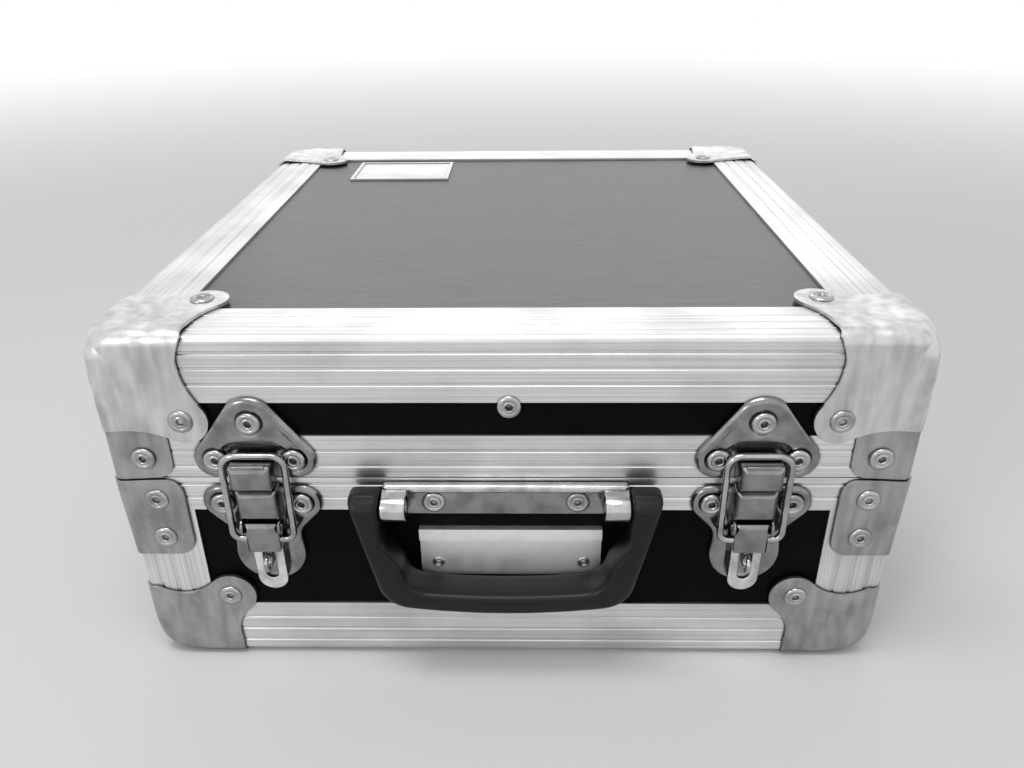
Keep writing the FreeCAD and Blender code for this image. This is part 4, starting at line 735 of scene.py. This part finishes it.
# lever: its box and its slotted tongue, which leans in towards its tip; rings of the tongue are
# (inset, drop)
lever = {"box": (7.3, -34.2, -18.7, 3.4, 9.8, 1.3), "thick": 1.1, "count": 120,
         "tongue": ((0, -52.0, 6.8), (6.0, -34.6, 0.8), (-6.0, -34.6, 0.8)), "tongueStep": 0.5,
         "slot": ((0, -49.4, 2.9), (0, -38.3, 2.9)), "slotStep": 0.2, "centre": -44, "widen": 1.6,
         "out": 4.85, "lean": 0.9, "leanFrom": -33.6, "leanOver": 25,
         "outerEdge": ((0, 0.35), (0.25, 0.1), (0.7, 0)), "between": (0.35, 0.65),
         "slotEdge": ((0.6, 0), (0.2, 0.1), (0, 0.35))}


def addLever(side, place):
    # the tongue is ruled from its outline to its slot, both read at the same angles about its centre; near
    # the two edges its rings stand a fixed inset away and drop to round them
    addPiece("lever_%s_box" % side, [bevelledBlock(*lever["box"], place)], nickel, "lever_" + side,
             ["lever_" + side], sharp=50.0)
    turn = np.linspace(-math.pi, math.pi, lever["count"]) % (2 * math.pi)
    rings = []
    for circles, step in ((lever["tongue"], lever["tongueStep"]), (lever["slot"], lever["slotStep"])):
        line = beltOutline(circles, step)[:-1]
        angle = np.arctan2(line[:, 1] - lever["centre"], line[:, 0] * lever["widen"]) % (2 * math.pi)
        order = np.argsort(angle)
        rings.append(np.stack([np.interp(turn, angle[order], line[order, axis], period=2 * math.pi)
                               for axis in (0, 1)], 1))
    outer, toSlot = rings[0], rings[1] - rings[0]
    length = lengths(toSlot)
    shares = [(inset / length, drop) for inset, drop in lever["outerEdge"]]
    shares += [(share, 0) for share in lever["between"]]
    shares += [(1 - inset / length, drop) for inset, drop in lever["slotEdge"]]
    rows = []
    for share, drop in shares:
        flat = outer + toSlot * share
        lean = np.clip((lever["leanFrom"] - flat[:, 1]) / lever["leanOver"], 0, 1)
        rows.append(onFront(place + flat[:, 0], flat[:, 1], lever["out"] - lever["lean"] * lean - drop))
    # the tongue's paler steel is painted light
    addPiece("lever_%s_tongue" % side, [np.stack(rows)], paintedLitTongueSteel, "lever_" + side, thick=lever["thick"])


def addKeeper(side, place):
    # the keeper's plate, its hook and the lip that holds the bail
    addPiece("keeper_%s_pressed" % side, [raisedPlate(keeper, keeperRelief, place)], nickel, "lid")
    addPiece("keeper_%s_hook" % side, [bevelledBlock(*keeper["hook"], place)], nickel, "lid",
             ["keeper_plate_" + side], sharp=50.0)
    addPiece("keeper_%s_lip" % side, stoodOnFront(place, roundedBox(*keeper["lip"])), nickel, "lid",
             sharp=50.0)


def addCatch(side, place):
    # the latch's plate with its boss, two ears that hold the lever's pin, and the staple on its foot
    addPiece("latch_%s_pressed" % side, [raisedPlate(catch, catchRelief, place)], nickel, "base")
    addPiece("latch_%s_boss" % side, [bevelledBlock(*catch["boss"], place)], nickel, "base",
             ["latch_plate_" + side], sharp=50.0)
    for sign, hand in ((-1, "near"), (1, "far")):
        sheets = [*roundedBox(*ear["box"]), lathed(ear["disc"], 32)[..., [2, 0, 1]] + ear["pin"]]
        addPiece("latch_%s_ear_%s" % (side, hand), stoodOnFront(place + sign * ear["across"], sheets),
                 nickel, "base", sharp=40.0)
    # the staple's wire is a flattened round section turned about its ring
    spin, turn = np.linspace(0, 2 * math.pi, 49)[:, None], np.linspace(0, 2 * math.pi, 17)[None, :]
    radius = staple["ring"] + staple["thick"] * np.cos(turn)
    ring = onFront(place + staple["wide"] * np.sin(turn) + 0 * spin, staple["up"] + radius * np.sin(spin),
                   staple["out"] + radius * np.cos(spin))
    addPiece("latch_%s_staple" % side, [ring], brightWire, "base")
    addPiece("latch_%s_foot" % side, stoodOnFront(place, roundedBox(*staple["foot"])), nickel, "base")


# bail: its low and high ends as (out, up), half its width over the wire's middle, its corners and its
# turned-in ends
bail = {"low": (6.4, -28.1), "high": (5.2, 14.0), "half": 13.5, "corner": 5.8, "hook": 4.0, "end": 4.9,
        "wire": 1.58, "step": 1.0}


def addBail(side, place):
    # one wire in a plane that leans from the lever's cheeks to the keeper's hook
    low, high = np.array(bail["low"]), np.array(bail["high"])
    tall = np.linalg.norm(high - low)
    half, corner, hook = bail["half"], bail["corner"], bail["hook"]
    right = np.concatenate([[(bail["end"], 0.0)], arc((half - hook, hook), hook, 270, 360, 12),
                            arc((half - corner, tall - corner), corner, 0, 90, 14)])
    line = evenly(np.concatenate([right, right[::-1] * [-1, 1]]), bail["step"])
    out, up = low[:, None] + (high - low)[:, None] * line[:, 1] / tall
    addPiece("bail_%s_wire" % side, [tube(onFront(place + line[:, 0], up, out), bail["wire"])], brightWire,
             "bail_" + side, ["wire_bail_" + side])


for side, place in latchPlaces.items():
    addKeeper(side, place)
    addCatch(side, place)
    addLever(side, place)
    addBail(side, place)
print("latches made")

# handle bracket: band, rounded bead and two rolled barrels on blocks, as boxes of across, out and up from
# the seam
bracket = {"band": ((-53.3, 0, -18.2), (53.3, 1.5, -5.0), 0.45),
           "bead": ((-53.3, 0, -5.3), (53.3, 5.2, -1.25), 1.9, 7),
           "block": ((-5.38, 0, -15.0), (5.38, 9.6, -3.0), 0.5), "across": 47.9, "pivot": (0, 9.6, -9.0),
           "barrel": ((2.7, 5.38), (5.3, 5.38), (5.85, 5.1), (6.0, 4.6))}


def addBracket():
    # a barrel is a mirrored profile of radius and half length turned about the handle's axis
    profile = [(radius, -end) for radius, end in bracket["barrel"]] + list(bracket["barrel"][::-1])
    barrel = lathed(profile, 48)[..., [2, 0, 1]] + bracket["pivot"]
    sheets = stoodOnFront(case["row"], roundedBox(*bracket["bead"]))
    for sign in (-1, 1):
        sheets += stoodOnFront(case["row"] + sign * bracket["across"],
                               [barrel, *roundedBox(*bracket["block"])])
    addPiece("bracket_band", stoodOnFront(case["row"], roundedBox(*bracket["band"])), nickel, "base",
             sharp=40.0)
    addPiece("bracket_rolled", sheets, brightRoll, "base", ["handle_bracket"], sharp=40.0)


# moulded handle: a rounded section between two outlines, as half width, high, low, corner, tip and bow,
# with heights from the pivot
grip = {"outer": (66.2, 8.0, -53.2, 15.0, 4.5, 3.0), "inner": (53.8, 13.0, -42.8, 12.0, 2.5, 1.5),
        "top": 8.0, "depth": 17.2, "lean": 9.0, "power": 4.6, "crown": 9.0, "reach": 53.82, "freeFrom": 29.0,
        "freeOver": 16.0, "armFrom": 30, "tipFrom": 4.6, "tipOver": 4.0, "tipIn": 3.2, "cap": 0.9,
        "counts": (34, 20, 18), "around": 65, "pinIn": 9.0,
        "pin": ((0, 0), (2.3, 0), (2.6, 0.3), (2.6, 12.0), (0, 12.0))}


def gripOutline(half, high, low, corner, tip, bow):
    # half of one outline, from the arm's top to the grip's middle: a straight that touches the tip's and
    # the corner's circles, the corner's arc and the bow's arc
    span, level = half - grip["lean"] - corner, low + bow + corner
    run = np.array([half - tip - span, high - tip - level])
    slope = math.acos((corner - tip) / np.linalg.norm(run)) - math.atan2(run[1], run[0])
    out = np.array([math.cos(slope), -math.sin(slope)])
    bowRadius = (span * span + bow * bow) / (2 * bow)
    drop = math.degrees(math.atan2(bow - bowRadius, span))
    side = np.array([span, level]) + out * corner
    top = np.array([half - tip, high - tip]) + out * tip
    top = top + (top - side) * (grip["top"] - top[1]) / (top[1] - side[1])
    armSteps, bendSteps, barSteps = grip["counts"]
    arm = np.linspace(top, side, armSteps)
    bend = arc((span, level), corner, -math.degrees(slope), drop, bendSteps)
    foot = bend[-1]
    x = np.linspace(foot[0], 0, barSteps)
    bowed = np.stack([x, (low + bowRadius) - np.sqrt(bowRadius ** 2 - x ** 2)], 1)
    bowed[:, 1] += (foot[1] - bowed[0, 1]) * (x / foot[0]) ** 2
    return np.concatenate([arm, bend[1:], bowed[1:]])


def addGrip():
    # the section at each place is a superellipse between the outlines; its depth follows the crown's circle
    # above the pivot. The arms stay clear of the bracket, and their tops are rounded and closed by
    # shrinking sections.
    outer, inner, reach = gripOutline(*grip["outer"]), gripOutline(*grip["inner"]), grip["reach"]
    free = eased((inner[:, 1] + grip["freeFrom"]) / grip["freeOver"])
    kept = np.maximum(inner[:, 0], reach * free + inner[:, 0] * (1 - free))
    inner[:, 0] = np.where(inner[:, 0] > grip["armFrom"], kept, inner[:, 0])
    rounding = np.clip((outer[:, 1] - grip["tipFrom"]) / grip["tipOver"], 0, 1)
    outer[:, 0] -= grip["tipIn"] - grip["tipIn"] * np.sqrt(1 - rounding ** 2)
    outer, inner = (np.concatenate([line, line[-2::-1] * [-1, 1]]) for line in (outer, inner))
    up = np.maximum(0, (outer[:, 1] + inner[:, 1]) / 2)
    depth = np.minimum(grip["depth"] / 2, np.sqrt(np.maximum(grip["crown"] ** 2 - up ** 2, 4.0)))
    turn = np.linspace(0, 2 * math.pi, grip["around"])
    wide = np.sign(np.cos(turn)) * np.abs(np.cos(turn)) ** (2 / grip["power"])
    deep = np.sign(np.sin(turn)) * np.abs(np.sin(turn)) ** (2 / grip["power"])
    middle = (outer + inner) / 2
    flat = middle[:, None, :] + ((outer - inner) / 2)[:, None, :] * wide[None, :, None]
    body = np.concatenate([flat, (depth[:, None] * deep[None, :])[..., None]], -1)
    lean = np.linspace(math.pi / 2, 0, 8)[1:, None]
    caps = []
    for end in (0, -1):
        centre = np.array([*middle[end], 0.0])
        cap = centre + (body[end] - centre)[None] * np.sin(lean)[..., None]
        cap[..., 1] += grip["cap"] * np.cos(lean)
        caps.append(cap)
    body = np.concatenate([caps[0][::-1], body, caps[1]])
    sheets = [body[..., [0, 2, 1]] + bracket["pivot"]]
    for sign in (-1, 1):
        pin = lathed(grip["pin"], 28)[..., [2, 1, 0]]
        pin[..., 0] = sign * (reach - grip["pinIn"] + pin[..., 0])
        sheets.append(pin + bracket["pivot"])
    addPiece("handle_moulded", stoodOnFront(case["row"], sheets), plastic, "handle", ["handle_grip"])


addBracket()
addGrip()
print("handle made")

# foam pads: soft slabs with rounded edges, a slight crown and uneven skin
pads = {"gap": 0.15, "round": 2.6, "steps": 26, "dip": 0.25, "crown": 0.5, "short": (17, 21),
        "long": (41, 37), "shift": 1.3}


def addFoam():
    # the free face sinks by half the crown and half a dip: a product of two short waves plus one long wave
    (shortX, shortY), (longX, longY) = pads["short"], pads["long"]
    for node, body in (("base_floor_foam", "base"), ("lid_foam", "lid")):
        low, high = (np.array(corner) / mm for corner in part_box(node))
        sheets = roundedBox(low + pads["gap"], high - pads["gap"], pads["round"], pads["steps"])
        for sheet in sheets:
            x, y = sheet[..., 0], sheet[..., 1]
            waves = np.sin(x / shortX + pads["shift"]) * np.sin(y / shortY) + np.sin(x / longX - y / longY)
            edge = np.clip((sheet[..., 2] - low[2]) / (high[2] - low[2]), 0, 1)
            sink = (pads["crown"] + pads["dip"] * waves) / 2
            sheet[..., 2] -= sink * (edge if body == "base" else -(1 - edge))
        pad = addPiece(node + "_pad", sheets, foam, body, [node])


addFoam()
print("foam made")

# CAD nodes that stay as they are: those with a finish or a softened edge of their own, in mm
nodeFinish = {"top_panel": sheenPaintedTopLaminate, "label_plate": aluminium[0], "card_holder": paintedLitCardSteel,
              "lever_pins": nickel}
nodeEdge = {"card_holder": 0.5, "label_plate": 0.4, "lower_hinge_leaves": 0.35, "upper_hinge_leaves": 0.35}
shown = 0
for name, piece in nodes.items():
    if not piece.hide_render:
        usual = laminate if "panel" in name or "board" in name else satinSteel
        piece.data.materials.clear()
        piece.data.materials.append(nodeFinish.get(name, usual))
        shown += 1
        if name in nodeEdge:
            soften(piece, nodeEdge[name])
print("nodes shown as they are:", shown)

# floor, light and camera
stage = {"pale": "#e6e6e6", "half": 12.0, "soft": 0.45, "near": 0.45, "far": 2.6}


def addFloor():
    # a floor that is lit near the object, where it takes the shadow, and fades to white further out
    material, tree, place = newMaterial("paleFloor")
    pale = {"Base Color": hexColour(stage["pale"]), "Roughness": 0.9}
    shader = addNode(tree, "ShaderNodeBsdfPrincipled", pale)
    glow = addNode(tree, "ShaderNodeEmission", {"Color": (1, 1, 1, 1), "Strength": 1.0})
    far = addNode(tree, "ShaderNodeVectorMath", links={0: place}, operation="LENGTH")
    share = addNode(tree, "ShaderNodeMapRange", {"From Min": stage["near"], "From Max": stage["far"]},
                    {"Value": far.outputs["Value"]}, interpolation_type="SMOOTHSTEP")
    rays = addNode(tree, "ShaderNodeLightPath")
    plain = addNode(tree, "ShaderNodeMath", {}, {0: share.outputs[0], 1: rays.outputs["Is Diffuse Ray"]},
                    operation="SUBTRACT", use_clamp=True)
    mixed = addNode(tree, "ShaderNodeMixShader", {},
                    {0: plain.outputs[0], 1: shader.outputs[0], 2: glow.outputs[0]})
    addNode(tree, "ShaderNodeOutputMaterial", links={"Surface": mixed.outputs[0]})
    half = stage["half"]
    mesh = bpy.data.meshes.new("floor")
    mesh.from_pydata([(-half, -half, 0), (half, -half, 0), (half, half, 0), (-half, half, 0)], [],
                     [(0, 1, 2, 3)])
    mesh.materials.append(material)
    floor = addObject("floor", mesh)


def addWorld():
    # white to the camera and in reflections, and dimmer as a light
    world = bpy.data.worlds.new("studio")
    bpy.context.scene.world = world
    world.use_nodes = True
    tree = world.node_tree
    tree.nodes.clear()
    rays = addNode(tree, "ShaderNodeLightPath")
    seen = rays.outputs["Is Camera Ray"]
    for other in ("Is Glossy Ray", "Is Transmission Ray"):
        seen = addNode(tree, "ShaderNodeMath", {}, {0: seen, 1: rays.outputs[other]}, operation="ADD",
                       use_clamp=True).outputs[0]
    strength = addNode(tree, "ShaderNodeMapRange", {"To Min": stage["soft"], "To Max": 1.0},
                       {"Value": seen})
    white = addNode(tree, "ShaderNodeBackground", {"Color": (1, 1, 1, 1)}, {"Strength": strength.outputs[0]})
    addNode(tree, "ShaderNodeOutputWorld", links={"Surface": white.outputs[0]})


# soft lamps: place and aim in m, size in m and power in W
lamps = {"overhead": {"place": (-0.15, -0.35, 1.3), "aim": (0, 0, 0.1), "size": (0.8, 0.35), "power": 6},
         "frontLeft": {"place": (-1.2, -1.6, 1.0), "aim": (0, 0, 0.1), "size": (0.5, 0.5), "power": 6},
         "backGlow": {"place": (0.0, 1.9, 1.3), "aim": (0, 0, 0.15), "size": (1.9, 0.7), "power": 4.5}}


def addLamps():
    for name, values in lamps.items():
        lamp = bpy.data.lights.new(name, "AREA")
        lamp.shape, (lamp.size, lamp.size_y), lamp.energy = "RECTANGLE", values["size"], values["power"]
        place = Vector(values["place"])
        turn = (Vector(values["aim"]) - place).to_track_quat("-Z", "Y").to_matrix().to_4x4()
        addObject(name, lamp).matrix_world = Matrix.Translation(place) @ turn


# fitted to the photograph: focal length in pixels of its 1024 wide frame, angles in degrees, place in mm
view = {"focal": 837.0, "width": 1024, "pitch": 27.404, "yaw": -1.16, "roll": -0.597,
        "place": (7.5, -471.3, 305.6), "sensor": 36.0, "clip": (0.01, 50)}


def photographCamera():
    # a camera that looks along Y is rolled about its view, pitched down and turned by its yaw to the right
    pitch, yaw, roll = (math.radians(view[key]) for key in ("pitch", "yaw", "roll"))
    turn = (Matrix.Rotation(-yaw, 4, "Z") @ Matrix.Rotation(math.pi / 2 - pitch, 4, "X")
            @ Matrix.Rotation(roll, 4, "Z"))
    data = bpy.data.cameras.new("photographCamera")
    data.sensor_width, data.sensor_fit = view["sensor"], "HORIZONTAL"
    data.lens = view["focal"] * view["sensor"] / view["width"]
    data.clip_start, data.clip_end = view["clip"]
    camera = addObject("photographCamera", data)
    camera.matrix_world = Matrix.Translation(Vector(view["place"]) * mm) @ turn
    bpy.context.scene.camera = camera


addFloor()
addWorld()
addLamps()
photographCamera()
bpy.context.scene.view_settings.view_transform = "Standard"
print("stage set")
